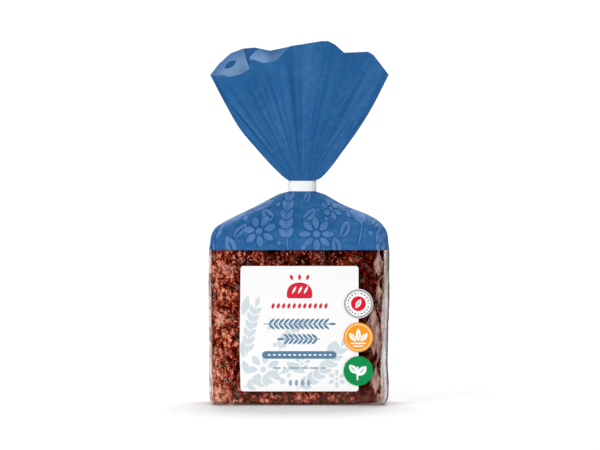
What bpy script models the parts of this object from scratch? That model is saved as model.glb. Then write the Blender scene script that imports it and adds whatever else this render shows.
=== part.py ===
"""Rye bread in a film bag that is gathered and taped at the neck and fans out above it.

Metres, +Z up. The bag stands on its flat base and its front, with the label, faces -Y.
"""

import math

import bmesh
import bpy
from mathutils import Vector, noise

MM = 0.001

# Driving dimensions: the bag
BAG_WIDTH = 107 * MM
BAG_DEPTH = 57 * MM
BASE_RADIUS = 2.5 * MM
PRINT_LINE = 92 * MM
SHOULDER = 104 * MM
NECK_BOTTOM = 126.3 * MM
NECK_TOP = 132.5 * MM
FAN_CORNER = 195.6 * MM
NECK_CENTRE = 2.1 * MM
NECK_HALF_WIDTH = 7.7 * MM
NECK_HALF_DEPTH = 5.0 * MM

# Driving dimensions: what is stuck on the bag
CONTACT_GAP = 0.3 * MM
TAPE_THICKNESS = 0.45 * MM
TAPE_LIFT = 0.15 * MM
LABEL_WIDTH = 69.6 * MM
LABEL_HEIGHT = 74 * MM
LABEL_CORNER = 1.7 * MM
LABEL_THICKNESS = 0.5 * MM
LABEL_X = 0.5 * MM
LABEL_Z = 45.6 * MM
BADGE_RADIUS = 8.7 * MM
BADGE_THICKNESS = 0.5 * MM
BADGE_X = 35.2 * MM
BADGE_LOWEST = 20.7 * MM
BADGE_PITCH = 19.85 * MM

HALF_WIDTH = BAG_WIDTH / 2
HALF_DEPTH = BAG_DEPTH / 2
NECK_LEFT = (NECK_HALF_WIDTH - NECK_CENTRE) / HALF_WIDTH
NECK_RIGHT = (NECK_HALF_WIDTH + NECK_CENTRE) / HALF_WIDTH

# The label and the stickers stand on the front, so the bag sits back by half of their height
STACK = 2 * CONTACT_GAP + LABEL_THICKNESS + BADGE_THICKNESS
BAG_Y = STACK / 2
FRONT_Y = BAG_Y - HALF_DEPTH

# The filled bag: height, then its reach to the left, to the right and in depth as shares of
# half the bag's width and depth
BAG_OUTLINE = (
    (0 * MM, 0.96, 0.935, 0.935),
    (BASE_RADIUS, 0.985, 0.98, 0.995),
    (9 * MM, 0.993, 0.995, 1),
    (22 * MM, 0.993, 0.985, 1),
    (38 * MM, 0.994, 0.985, 1),
    (62 * MM, 1, 1, 1),
    (88 * MM, 0.996, 1, 1),
    (94 * MM, 0.986, 1, 0.995),
    (SHOULDER, 0.935, 0.965, 0.935),
    (111 * MM, 0.75, 0.85, 0.73),
    (118 * MM, 0.51, 0.565, 0.505),
    (124.4 * MM, 0.25, 0.315, 0.28),
    (NECK_BOTTOM, NECK_LEFT, NECK_RIGHT, NECK_HALF_DEPTH / HALF_DEPTH),
)

# The fan: share of its rise from the neck to its corners, then its reach to the left and right
FAN_OUTLINE = (
    (0, NECK_LEFT, NECK_RIGHT),
    (0.03, 0.16, 0.25),
    (0.13, 0.285, 0.36),
    (0.25, 0.415, 0.465),
    (0.48, 0.645, 0.66),
    (0.7, 0.8, 0.82),
    (1, 0.985, 1),
)

# The two edges of the fan's mouth, cut straight from row to row: share of the way across,
# height above the fan's corners
BACK_RIM = (
    (-1, 0),
    (-0.9, 6.7 * MM),
    (-0.77, 12.9 * MM),
    (-0.63, 15.7 * MM),
    (-0.5, 16.3 * MM),
    (-0.33, 14.4 * MM),
    (-0.1, 17 * MM),
    (0.23, 18 * MM),
    (0.5, 10.8 * MM),
    (0.85, 8.6 * MM),
    (1, 0),
)
FRONT_RIM = (
    (-1, 0),
    (-0.9, -1.8 * MM),
    (-0.76, -1.1 * MM),
    (-0.64, 0.5 * MM),
    (-0.56, 3.4 * MM),
    (-0.545, 9.6 * MM),
    (-0.4, 6.8 * MM),
    (-0.26, 8.5 * MM),
    (-0.1, 17 * MM),
    (0.24, 19.9 * MM),
    (0.32, 20 * MM),
    (0.4, 17.9 * MM),
    (0.5, 13.1 * MM),
    (0.77, 13.7 * MM),
    (0.83, 11.8 * MM),
    (1, 0),
)

# Stations round the bag: on the front or the back with both corners, and on one side
PANEL_STATIONS = 30
SIDE_STATIONS = 12

# The bread's rough crust, and the loose film that creases over its right side
CORNER_RADIUS = 7 * MM
CRAG_SIZE = 8.5 * MM
CRAG_DEPTH = 1.3 * MM
CRAG_FLATTENING = 0.7
LOOSE_FROM = 0.86
CREASE_DEPTH = 1.5 * MM
CREASE_LENGTH = 23 * MM
CREASE_SLANT = 0.35
CLING_FROM = 4 * MM
CLING_TO = SHOULDER + 2 * MM

# The film's folds run down from the mouth through the neck into the shoulder. Each panel has
# its own shift of their spacing and of the folds.
FOLDS_ACROSS = 3.6
FOLD_UNEVENNESS = 0.11
FOLD_SPACING_WAVE = 5
FRONT_SHIFTS = (0.4, 0.7)
BACK_SHIFTS = (2.1, 2.6)
SHOULDER_FOLD = 0.9 * MM
NECK_FOLD = 0.25 * MM
RIM_FOLD = 2.3 * MM
FOLDS_START = SHOULDER - 4 * MM
FOLDS_FULL = SHOULDER + 13.5 * MM

# The sides of the shoulder tuck in, and so do the sides of the fan
SHOULDER_TUCK = 5 * MM
GUSSET_DEPTH = 9 * MM
FAN_HALF_GAP = 6.4 * MM
FAN_PINCH = 1.2 * MM
FAN_TAPER = 0.35
FAN_WALL = 0.9 * MM
FAN_CORNER_INSET = 3.2 * MM
FAN_FLOOR = 0.46

# The tape's lap at the back as a share of a turn, and how square its loop is
TAPE_LAP = 0.17
TAPE_SQUARENESS = 2.7
TAPE_STEPS = 62

BREAD_BROWN = (0.085, 0.022, 0.014)
PRINT_BLUE = (0.022, 0.12, 0.32)
PAPER_WHITE = (0.88, 0.89, 0.9)
BADGE_COLOURS = {
    "badge_red": (0.62, 0.012, 0.03),
    "badge_orange": (0.9, 0.36, 0.035),
    "badge_green": (0.004, 0.29, 0.075),
}


def clear_scene():
    for obj in list(bpy.data.objects):
        bpy.data.objects.remove(obj, do_unlink=True)


def plastic(name, colour, roughness):
    material = bpy.data.materials.new(name)
    material.use_nodes = True
    shader = material.node_tree.nodes["Principled BSDF"]
    shader.inputs["Base Color"].default_value = (*colour, 1)
    shader.inputs["Roughness"].default_value = roughness
    shader.inputs["Metallic"].default_value = 0
    return material


def mix(a, b, share):
    return a + (b - a) * share


def clamp(value):
    return min(max(value, 0), 1)


def ease(low, high, value):
    """0 below low, 1 above high, and smooth in between."""
    t = clamp((value - low) / (high - low))
    return t * t * (3 - 2 * t)


def outline_at(outline, place, column):
    """The value in one column of an outline, on a smooth curve through all of its rows."""
    last = len(outline) - 2
    row = next((i for i in range(last) if place <= outline[i + 1][0]), last)
    before, low, high, after = (outline[min(max(i, 0), last + 1)] for i in range(row - 1, row + 3))
    span = high[0] - low[0]
    t = clamp((place - low[0]) / span)
    slope_in = span * (high[column] - before[column]) / (high[0] - before[0])
    slope_out = span * (after[column] - low[column]) / (after[0] - low[0])
    eased = t * t * (3 - 2 * t)
    bend = t * (1 - t) * ((1 - t) * slope_in - t * slope_out)
    return mix(low[column], high[column], eased) + bend


def straight_at(outline, place):
    """The value in an outline's second column, on straight lines between its rows."""
    last = len(outline) - 2
    row = next((i for i in range(last) if place <= outline[i + 1][0]), last)
    low, high = outline[row : row + 2]
    return mix(low[1], high[1], (place - low[0]) / (high[0] - low[0]))


def stations():
    """Places round a unit square as (across, deep): front, right side, back, left side."""
    half = [(-1 + 2 * i / (PANEL_STATIONS - 1), -1.0) for i in range(PANEL_STATIONS)]
    half += [(1.0, -1 + 2 * (i + 1) / (SIDE_STATIONS + 1)) for i in range(SIDE_STATIONS)]
    return half + [(-across, -deep) for across, deep in half]


def rounded(across, deep, half_width, half_depth, corner):
    """A station's point on a rectangle with round corners."""
    x, y = across * half_width, deep * half_depth
    past_x = max(abs(x) - (half_width - corner), 0)
    past_y = max(abs(y) - (half_depth - corner), 0)
    length = math.hypot(past_x, past_y)
    if past_x and past_y:
        x -= math.copysign(past_x - past_x * corner / length, x)
        y -= math.copysign(past_y - past_y * corner / length, y)
    return x, y


def way_out(across, deep):
    """The direction straight out of the bag at a station: at a corner it is slanted."""
    out = (across if abs(across) == 1 else 0, deep if abs(deep) == 1 else 0, 0)
    return Vector(out).normalized()


def panel_fold(across, shifts):
    """Height of the film's radial folds on the front or the back panel, from -1 to 1."""
    spacing_shift, fold_shift = shifts
    place = across + FOLD_UNEVENNESS * math.sin(FOLD_SPACING_WAVE * across + spacing_shift)
    return math.sin(math.pi * FOLDS_ACROSS * place + fold_shift)


def fold(across, deep):
    """The folds round the whole bag: on its sides they pass from the front's to the back's."""
    front = panel_fold(across, FRONT_SHIFTS)
    return mix(front, panel_fold(across, BACK_SHIFTS), (deep + 1) / 2)


def crags(x, y, z):
    """How far the rough crust lies below the bag's outline, from 0 to 1."""
    place = Vector((x, y, CRAG_FLATTENING * z)) / CRAG_SIZE
    coarse, fine = noise.noise(place), noise.noise(2.3 * place)
    return clamp(0.5 + 0.75 * coarse + 0.5 * fine)


def creases(y, z):
    """How far the loose film of the right side lies below the bag's outline, from 0 to 1."""
    wave = math.sin(2 * math.pi * (z + CREASE_SLANT * abs(y)) / CREASE_LENGTH)
    return 0.5 + 0.5 * wave * noise.noise(Vector((5, y, z)) / CREASE_LENGTH)


def filled_ring(z):
    """One ring round the filled part of the bag, from the base to the neck."""
    left, right, depth = (outline_at(BAG_OUTLINE, z, column) for column in (1, 2, 3))
    middle = (right - left) / 2 * HALF_WIDTH
    half_width = (right + left) / 2 * HALF_WIDTH
    half_depth = min(depth, 1) * HALF_DEPTH
    corner = min(mix(CORNER_RADIUS, half_depth, ease(SHOULDER, NECK_BOTTOM, z)), half_depth)
    cling = ease(0, CLING_FROM, z) * (1 - ease(PRINT_LINE, CLING_TO, z))
    amount = mix(SHOULDER_FOLD, NECK_FOLD, ease(FOLDS_FULL, NECK_BOTTOM, z))
    amount *= ease(FOLDS_START, FOLDS_FULL, z)
    tuck = SHOULDER_TUCK * math.sin(math.pi * max(z - SHOULDER, 0) / (NECK_BOTTOM - SHOULDER))
    ring = []
    for across, deep in stations():
        x, y = rounded(across, deep, half_width, half_depth, corner)
        crust, film = CRAG_DEPTH * crags(x, y, z), CREASE_DEPTH * creases(y, z)
        below = cling * mix(crust, film, ease(LOOSE_FROM, 1, across))
        point = Vector((middle + x, BAG_Y + y, z)) - below * way_out(across, deep)
        point.x -= math.copysign(tuck * (1 - abs(deep)), across)
        point.y += amount * fold(across, deep)
        ring.append(point)
    return ring


def rim_height(across, deep):
    """Height of the mouth's edge at a station, between the front's edge and the back's."""
    front, back = (straight_at(rim, across) for rim in (FRONT_RIM, BACK_RIM))
    return FAN_CORNER + mix(front, back, (deep + 1) / 2)


def fan_ring(rise, inner=False):
    """One ring round the fan: rise goes from 0 at the neck to 1 at the mouth."""
    left, right = (outline_at(FAN_OUTLINE, rise, column) for column in (1, 2))
    middle = (right - left) / 2 * HALF_WIDTH
    half_width = (right + left) / 2 * HALF_WIDTH
    gusset = GUSSET_DEPTH * ease(FAN_FLOOR, 1, rise)
    gap = mix(NECK_HALF_DEPTH, FAN_HALF_GAP, ease(0, 1, rise)) - FAN_PINCH * math.sin(math.pi * rise)
    amount = mix(NECK_FOLD, RIM_FOLD, ease(0, 0.9, rise))
    if inner:
        half_width -= FAN_CORNER_INSET
        gusset += FAN_WALL
        gap -= FAN_WALL
    ring = []
    for across, deep in stations():
        x = middle + across * half_width
        x -= math.copysign(gusset * (1 - abs(deep)), across)
        y = BAG_Y + deep * gap * (1 - FAN_TAPER * across**2 * rise) + amount * fold(across, deep)
        z = mix(NECK_TOP, rim_height(across, deep), rise)
        ring.append(Vector((x, y, z)))
    return ring


def neck_ring(z):
    """One ring round the neck, where the tape holds the gathered film."""
    ring = []
    for across, deep in stations():
        x, y = rounded(across, deep, NECK_HALF_WIDTH, NECK_HALF_DEPTH, NECK_HALF_DEPTH)
        ring.append(Vector((NECK_CENTRE + x, BAG_Y + y, z)))
    return ring


def spread(low, high, count):
    """Evenly spaced values from low up to, and without, high."""
    return [mix(low, high, i / count) for i in range(count)]


def bag_rings():
    """The film's rings from the base up to the mouth, then down inside it to the fan's floor."""
    base = [0, BASE_RADIUS / 3, BASE_RADIUS]
    body = spread(2 * BASE_RADIUS, PRINT_LINE, 24)
    shoulder = spread(PRINT_LINE, NECK_BOTTOM, 13)
    rings = [filled_ring(z) for z in base + body + shoulder]
    rings += [neck_ring(z) for z in (NECK_BOTTOM, NECK_TOP)]
    rings += [fan_ring(rise) for rise in [0.03, *spread(0.07, 1, 13), 1]]
    rings += [fan_ring(rise, inner=True) for rise in (1, *reversed(spread(FAN_FLOOR, 1, 4)))]
    return rings


def close_between_panels(mesh, ring):
    """Closes a flat ring with a strip of quads, from its front panel to its back panel."""
    side = SIDE_STATIONS // 2
    back_end = len(ring) // 2 + PANEL_STATIONS - 1
    places = range(-side, PANEL_STATIONS + side)
    front = [ring[i % len(ring)] for i in places]
    back = [ring[(back_end - i) % len(ring)] for i in places]
    for i in range(len(front) - 1):
        mesh.faces.new((front[i], front[i + 1], back[i + 1], back[i]))


def loft(mesh, rings):
    """Joins each ring of points to the next one with quads, and returns the rings' vertices."""
    made = [[mesh.verts.new(point) for point in ring] for ring in rings]
    for lower, upper in zip(made, made[1:]):
        for i in range(len(lower)):
            after = (i + 1) % len(lower)
            mesh.faces.new((lower[i], lower[after], upper[after], upper[i]))
    return made


def add_object(name, mesh, materials, sharp_angle=40):
    """Makes an object from a bmesh, shaded smooth up to the given angle between faces."""
    data = bpy.data.meshes.new(name)
    bmesh.ops.recalc_face_normals(mesh, faces=mesh.faces)
    mesh.to_mesh(data)
    mesh.free()
    for material in materials:
        data.materials.append(material)
    data.shade_smooth()
    data.set_sharp_from_angle(angle=math.radians(sharp_angle))
    obj = bpy.data.objects.new(name, data)
    bpy.context.scene.collection.objects.link(obj)
    return obj


def build_bag(bread, film):
    """The bag with its bread: one tube of film, shut at the base and open at the fan's mouth."""
    mesh = bmesh.new()
    rings = loft(mesh, bag_rings())
    mesh.faces.new(list(reversed(rings[0])))
    close_between_panels(mesh, rings[-1])
    for face in mesh.faces:
        face.material_index = 0 if face.calc_center_median().z < PRINT_LINE else 1
    add_object("bread_bag", mesh, (bread, film))


def tape_loop(turn, out):
    """A point on the tape's oval path after a share of a turn from the back, out from the neck."""
    angle = math.pi / 2 + 2 * math.pi * turn
    x, y = math.cos(angle), math.sin(angle)
    swell = (abs(x) ** TAPE_SQUARENESS + abs(y) ** TAPE_SQUARENESS) ** (-1 / TAPE_SQUARENESS)
    reach = CONTACT_GAP + out
    x *= swell * (NECK_HALF_WIDTH + reach)
    y *= swell * (NECK_HALF_DEPTH + reach)
    return NECK_CENTRE + x, BAG_Y + y


def build_neck_tape(paper):
    """A strip of tape wound once round the neck, its end lapped over its start at the back."""
    mesh = bmesh.new()
    sections = []
    for i in range(TAPE_STEPS + 1):
        turn = (1 + TAPE_LAP) * i / TAPE_STEPS - TAPE_LAP / 2
        lifted = ease(1 - 1.6 * TAPE_LAP, 1 - 0.6 * TAPE_LAP, turn)
        lift = (TAPE_THICKNESS + TAPE_LIFT) * lifted
        inner = tape_loop(turn, lift)
        outer = tape_loop(turn, lift + TAPE_THICKNESS)
        corners = (
            (*inner, NECK_BOTTOM),
            (*outer, NECK_BOTTOM),
            (*outer, NECK_TOP),
            (*inner, NECK_TOP),
        )
        sections.append([mesh.verts.new(corner) for corner in corners])
    for here, there in zip(sections, sections[1:]):
        for i in range(4):
            after = (i + 1) % 4
            mesh.faces.new((here[i], there[i], there[after], here[after]))
    mesh.faces.new(sections[0])
    mesh.faces.new(list(reversed(sections[-1])))
    add_object("neck_tape", mesh, (paper,))


def extruded_plate(name, outline, back_y, thickness, material):
    """A flat plate that faces the front, from its outline as (x, z) pairs."""
    mesh = bmesh.new()
    face = mesh.faces.new([mesh.verts.new((x, back_y, z)) for x, z in outline])
    moved = bmesh.ops.extrude_face_region(mesh, geom=[face])["geom"]
    corners = [v for v in moved if isinstance(v, bmesh.types.BMVert)]
    bmesh.ops.translate(mesh, vec=(0, -thickness, 0), verts=corners)
    add_object(name, mesh, (material,), sharp_angle=30)


def arc(centre_x, centre_z, radius, start, turn, steps):
    """Points along an arc in the front's plane, by angles in turns."""
    angles = [2 * math.pi * (start + turn * i / steps) for i in range(steps + 1)]
    return [(centre_x + radius * math.cos(a), centre_z + radius * math.sin(a)) for a in angles]


def build_front_label(paper):
    """The square label with round corners, on the front of the bag."""
    reach_x = LABEL_WIDTH / 2 - LABEL_CORNER
    reach_z = LABEL_HEIGHT / 2 - LABEL_CORNER
    outline = []
    for quarter, (side_x, side_z) in enumerate(((1, 1), (-1, 1), (-1, -1), (1, -1))):
        centre_x = LABEL_X + side_x * reach_x
        centre_z = LABEL_Z + side_z * reach_z
        outline += arc(centre_x, centre_z, LABEL_CORNER, quarter / 4, 0.25, 6)
    extruded_plate("front_label", outline, FRONT_Y - CONTACT_GAP, LABEL_THICKNESS, paper)


def build_badges():
    """The three round stickers, over the label's right edge, from the top down."""
    back_y = FRONT_Y - 2 * CONTACT_GAP - LABEL_THICKNESS
    for row, (name, colour) in enumerate(BADGE_COLOURS.items()):
        centre_z = BADGE_LOWEST + (len(BADGE_COLOURS) - 1 - row) * BADGE_PITCH
        outline = arc(BADGE_X, centre_z, BADGE_RADIUS, 0, 1, 48)[:-1]
        extruded_plate(name, outline, back_y, BADGE_THICKNESS, plastic(name, colour, 0.35))


def main():
    clear_scene()
    bread = plastic("rye_bread", BREAD_BROWN, 0.45)
    film = plastic("blue_film", PRINT_BLUE, 0.35)
    paper = plastic("white_paper", PAPER_WHITE, 0.4)
    build_bag(bread, film)
    build_neck_tape(paper)
    build_front_label(paper)
    build_badges()


main()
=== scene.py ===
import math

import bpy
import numpy as np
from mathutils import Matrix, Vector, geometry, noise


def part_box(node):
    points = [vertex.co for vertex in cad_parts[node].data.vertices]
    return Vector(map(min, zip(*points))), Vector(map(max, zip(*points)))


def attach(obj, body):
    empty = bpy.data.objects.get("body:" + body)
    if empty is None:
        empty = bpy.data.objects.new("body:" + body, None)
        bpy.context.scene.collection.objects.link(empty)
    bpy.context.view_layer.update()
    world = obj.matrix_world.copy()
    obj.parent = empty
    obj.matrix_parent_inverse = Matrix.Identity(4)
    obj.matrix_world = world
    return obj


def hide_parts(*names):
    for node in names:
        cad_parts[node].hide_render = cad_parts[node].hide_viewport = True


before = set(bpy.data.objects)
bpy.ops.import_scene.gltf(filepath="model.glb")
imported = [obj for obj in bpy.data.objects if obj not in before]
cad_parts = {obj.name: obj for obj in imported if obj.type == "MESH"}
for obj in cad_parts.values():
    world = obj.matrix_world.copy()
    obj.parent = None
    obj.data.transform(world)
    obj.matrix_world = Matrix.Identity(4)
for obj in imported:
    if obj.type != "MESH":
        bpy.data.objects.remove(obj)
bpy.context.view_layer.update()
mm = 0.001

# where the frame says the pieces are
bagLow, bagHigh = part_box("bread_bag")
tapeLow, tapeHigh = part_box("neck_tape")
labelLow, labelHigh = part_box("front_label")
backBy = (bagLow.y + bagHigh.y) / 2
halfDepth = (bagHigh.y - bagLow.y) / 2
frontY = bagLow.y
neckBottom, neckTop = tapeLow.z, tapeHigh.z
neckCentre = 2.1 * mm


# small helpers for numbers

def mix(a, b, share):
    return a + (b - a) * share


def ease(low, high, value):
    t = np.clip((value - low) / (high - low), 0, 1)
    return t * t * (3 - 2 * t)


def through(rows, place, column=1):
    # a smooth curve through the rows of an outline, read at a place in their first column
    rows = np.array(rows, float)
    knots, values = rows[:, 0], rows[:, column]
    place = np.clip(place, knots[0], knots[-1])
    low = np.clip(np.searchsorted(knots, place) - 1, 0, len(knots) - 2)
    high = low + 1
    before, after = np.maximum(low - 1, 0), np.minimum(high + 1, len(knots) - 1)
    span = knots[high] - knots[low]
    t = (place - knots[low]) / span
    slopeIn = span * (values[high] - values[before]) / (knots[high] - knots[before])
    slopeOut = span * (values[after] - values[low]) / (knots[after] - knots[low])
    eased = t * t * (3 - 2 * t)
    return mix(values[low], values[high], eased) + t * (1 - t) * ((1 - t) * slopeIn - t * slopeOut)


def noiseAt(x, y, z, size, shift=0.0):
    # soft noise from about -1 to 1, with features of the given size
    x, y, z = np.broadcast_arrays(x, y, z)
    places = np.stack([x.ravel(), y.ravel(), z.ravel()], 1) / size + shift
    return np.array([noise.noise(place) for place in places.tolist()]).reshape(x.shape)


def cellsAt(x, y, z, size, shift=0.0):
    # 1 at the middle of each cell, about 0 where two cells meet
    places = np.stack([x.ravel(), y.ravel(), z.ravel()], 1) / size + shift
    near = np.array([noise.voronoi(place)[0][:2] for place in places.tolist()])
    return np.clip((near[:, 1] - near[:, 0]) * 1.6, 0, 1).reshape(x.shape)


def srgb(red, green, blue):
    # a colour as read off the photograph, from 0 to 255, for a shader
    shares = [value / 255 for value in (red, green, blue)]
    linear = [c / 12.92 if c < 0.04045 else ((c + 0.055) / 1.055) ** 2.4 for c in shares]
    return (*linear, 1)


# small helpers for meshes and pieces

def makePiece(name, points, faces, materials, node, faceMaterials=None, smooth=True):
    mesh = bpy.data.meshes.new(name)
    mesh.from_pydata(points, [], faces)
    for material in materials:
        mesh.materials.append(material)
    if faceMaterials is not None:
        mesh.polygons.foreach_set("material_index", np.array(faceMaterials, np.int32))
    if smooth:
        mesh.shade_smooth()
    mesh.update()
    piece = bpy.data.objects.new(name, mesh)
    bpy.context.scene.collection.objects.link(piece)
    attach(piece, "root")
    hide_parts(node)
    return piece


def keepValues(piece, **values):
    # numbers for each point of the mesh, which its material reads by name
    for name, numbers in values.items():
        made = piece.data.attributes.new(name, "FLOAT", "POINT")
        made.data.foreach_set("value", np.asarray(numbers, np.float32).ravel())


def tubeFaces(rings, stations):
    # quads between rings of points, all faces looking out
    ring, station = np.meshgrid(np.arange(rings - 1), np.arange(stations), indexing="ij")
    after = (station + 1) % stations
    corners = [ring * stations + station, ring * stations + after,
               (ring + 1) * stations + after, (ring + 1) * stations + station]
    return np.stack([c.ravel() for c in corners], 1).tolist()


# small helpers for materials

def setInputs(tree, node, values):
    for name, value in values.items():
        if isinstance(value, bpy.types.NodeSocket):
            tree.links.new(value, node.inputs[name])
        else:
            node.inputs[name].default_value = value


def addNode(tree, kind, values=None, **settings):
    made = tree.nodes.new("ShaderNode" + kind)
    for name, value in settings.items():
        setattr(made, name, value)
    setInputs(tree, made, values or {})
    return made


def newMaterial(name):
    material = bpy.data.materials.new(name)
    material.use_nodes = True
    tree = material.node_tree
    return material, tree, tree.nodes["Principled BSDF"]


def setFinish(tree, shader, colour, roughness, specular):
    setInputs(tree, shader, {"Base Color": colour, "Roughness": roughness, "Specular IOR Level": specular})


def showSurface(tree, shader):
    tree.links.new(shader.outputs[0], tree.nodes["Material Output"].inputs["Surface"])


def paint(tree, colour, *layers):
    # a colour with others laid over it, each by its share from 0 to 1
    for share, over in layers:
        colour = addNode(tree, "Mix", {0: share, 6: colour, 7: over}, data_type="RGBA").outputs[2]
    return colour


def compute(tree, operation, a, b=0.0, clamp=False):
    return addNode(tree, "Math", {0: a, 1: b}, operation=operation, use_clamp=clamp).outputs[0]


def plus(tree, a, b, clamp=False):
    return compute(tree, "ADD", a, b, clamp)


def minus(tree, a, b, clamp=False):
    return compute(tree, "SUBTRACT", a, b, clamp)


def times(tree, a, b, clamp=False):
    return compute(tree, "MULTIPLY", a, b, clamp)


def addUp(tree, total, parts, clamp=False):
    # a total to which each value is added by its share
    for value, share in parts:
        total = plus(tree, total, times(tree, value, share), clamp)
    return total


def valuesOf(tree, *names):
    return [addNode(tree, "Attribute", attribute_name=name).outputs["Fac"] for name in names]


def step(tree, value, low, high):
    # 0 below low, 1 above high, smooth in between
    return addNode(tree, "MapRange", {0: value, 1: low, 2: high}, interpolation_type="SMOOTHSTEP").outputs[0]


def place(tree):
    return addNode(tree, "TexCoord").outputs["Object"]


def stretched(tree, x, y, z):
    return addNode(tree, "Mapping", {"Vector": place(tree), "Scale": (x, y, z)}).outputs[0]


def noiseTexture(tree, size, detail=2.0, roughness=0.5, vector=None):
    values = {"Vector": vector or place(tree), "Scale": 1 / size, "Detail": detail, "Roughness": roughness}
    return addNode(tree, "TexNoise", values).outputs["Fac"]


def addBump(tree, shader, height, distance, strength=1.0):
    values = {"Height": height, "Distance": distance, "Strength": strength}
    normal = addNode(tree, "Bump", values).outputs["Normal"]
    tree.links.new(normal, shader.inputs["Normal"])
    return normal


# the bag's form, the same as that of the solid that its pieces replace

bagForm = {
    "halfWidth": 53.5 * mm,
    "baseRadius": 2.5 * mm,
    "printLine": 92 * mm,
    "shoulder": 104 * mm,
    "fanCorner": 195.6 * mm,
    "neckHalfWidth": 7.7 * mm,
    "neckHalfDepth": 5.0 * mm,
    "cornerRadius": 7 * mm,
    "looseFrom": 0.86,
    "creaseDepth": 1.5 * mm,
    "creaseLength": 23 * mm,
    "foldsAcross": 3.6,
    "shoulderFold": 0.9 * mm,
    "neckFold": 0.25 * mm,
    "rimFold": 1.6 * mm,
    "shoulderTuck": 5 * mm,
    "gussetDepth": 9 * mm,
    "fanHalfGap": 6.4 * mm,
    "fanFloor": 0.46,
}
neckLeft = (bagForm["neckHalfWidth"] - neckCentre) / bagForm["halfWidth"]
neckRight = (bagForm["neckHalfWidth"] + neckCentre) / bagForm["halfWidth"]

# height, then the reach to the left, to the right and in depth as shares of the half sizes
bagOutline = (
    (0, 0.96, 0.935, 0.935),
    (bagForm["baseRadius"], 0.985, 0.98, 0.995),
    (9 * mm, 0.993, 0.995, 1),
    (22 * mm, 0.993, 0.985, 1),
    (38 * mm, 0.994, 0.985, 1),
    (62 * mm, 1, 1, 1),
    (88 * mm, 0.996, 1, 1),
    (94 * mm, 0.986, 1, 0.995),
    (bagForm["shoulder"], 0.935, 0.965, 0.935),
    (111 * mm, 0.75, 0.85, 0.73),
    (118 * mm, 0.51, 0.565, 0.505),
    (124.4 * mm, 0.25, 0.315, 0.28),
    (neckBottom, neckLeft, neckRight, bagForm["neckHalfDepth"] / halfDepth),
)
# share of the fan's rise, then its reach to the left and to the right
fanOutline = (
    (0, neckLeft, neckRight),
    (0.03, 0.16, 0.25),
    (0.13, 0.285, 0.36),
    (0.25, 0.415, 0.465),
    (0.48, 0.645, 0.66),
    (0.7, 0.8, 0.82),
    (1, 0.985, 1),
)
# the mouth's two edges, cut straight from row to row: share of the way across, height above
# the fan's corners
backRim = (
    (-1, 0), (-0.9, 6.7 * mm), (-0.77, 12.9 * mm), (-0.63, 15.7 * mm), (-0.5, 16.3 * mm),
    (-0.33, 14.4 * mm), (-0.1, 17 * mm), (0.23, 18 * mm), (0.5, 10.8 * mm), (0.85, 8.6 * mm), (1, 0),
)
frontRim = (
    (-1, 0), (-0.9, -1.8 * mm), (-0.76, -1.1 * mm), (-0.64, 0.5 * mm), (-0.56, 3.4 * mm),
    (-0.545, 9.6 * mm), (-0.4, 6.8 * mm), (-0.26, 8.5 * mm), (-0.1, 17 * mm), (0.24, 19.9 * mm),
    (0.32, 20 * mm), (0.4, 17.9 * mm), (0.5, 13.1 * mm), (0.77, 13.7 * mm), (0.83, 11.8 * mm), (1, 0),
)


def stationsAround(panelCount, sideCount):
    # places round the bag: front, right side, back, left side
    panel = np.linspace(-1, 1, panelCount)
    side = np.linspace(-1, 1, sideCount + 2)[1:-1]
    across = np.concatenate([panel, np.ones(sideCount)])
    deep = np.concatenate([-np.ones(panelCount), side])
    return np.concatenate([across, -across]), np.concatenate([deep, -deep])


def roundedPoint(across, deep, halfX, halfY, corner):
    # a point on a rectangle with round corners, and the way out from it
    x, y = across * halfX, deep * halfY
    pastX = np.maximum(np.abs(x) - (halfX - corner), 0)
    pastY = np.maximum(np.abs(y) - (halfY - corner), 0)
    length = np.maximum(np.hypot(pastX, pastY), 1e-9)
    cut = np.where((pastX > 0) & (pastY > 0), 1 - corner / length, 0)
    outX, outY = np.copysign(pastX / length, x), np.copysign(pastY / length, y)
    return x - np.copysign(pastX * cut, x), y - np.copysign(pastY * cut, y), outX, outY


def panelFold(across, spacingShift, foldShift):
    spaced = across + 0.11 * np.sin(5 * across + spacingShift)
    return np.sin(math.pi * bagForm["foldsAcross"] * spaced + foldShift)


def foldAt(across, deep):
    return mix(panelFold(across, 0.4, 0.7), panelFold(across, 2.1, 2.6), (deep + 1) / 2)


def filledForm(across, deep, z):
    form = bagForm
    left, right, depth = (through(bagOutline, z, column) for column in (1, 2, 3))
    middle, halfX = (right - left) / 2 * form["halfWidth"], (right + left) / 2 * form["halfWidth"]
    halfY = np.minimum(depth, 1) * halfDepth
    corner = mix(form["cornerRadius"], halfY, ease(form["shoulder"], neckBottom, z))
    x, y, outX, outY = roundedPoint(across, deep, halfX, halfY, np.minimum(corner, halfY))
    foldsStart, foldsFull = form["shoulder"] - 4 * mm, form["shoulder"] + 13.5 * mm
    amount = mix(form["shoulderFold"], form["neckFold"], ease(foldsFull, neckBottom, z))
    amount = amount * ease(foldsStart, foldsFull, z)
    above = np.maximum(z - form["shoulder"], 0) / (neckBottom - form["shoulder"])
    tuck = form["shoulderTuck"] * np.sin(math.pi * above)
    x = middle + x - np.copysign(tuck * (1 - np.abs(deep)), across)
    y = backBy + y + amount * foldAt(across, deep)
    return x, y, outX, outY


def rimHeight(across, deep):
    front, back = (np.interp(across, *zip(*rim)) for rim in (frontRim, backRim))
    return bagForm["fanCorner"] + mix(front, back, (deep + 1) / 2)


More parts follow.
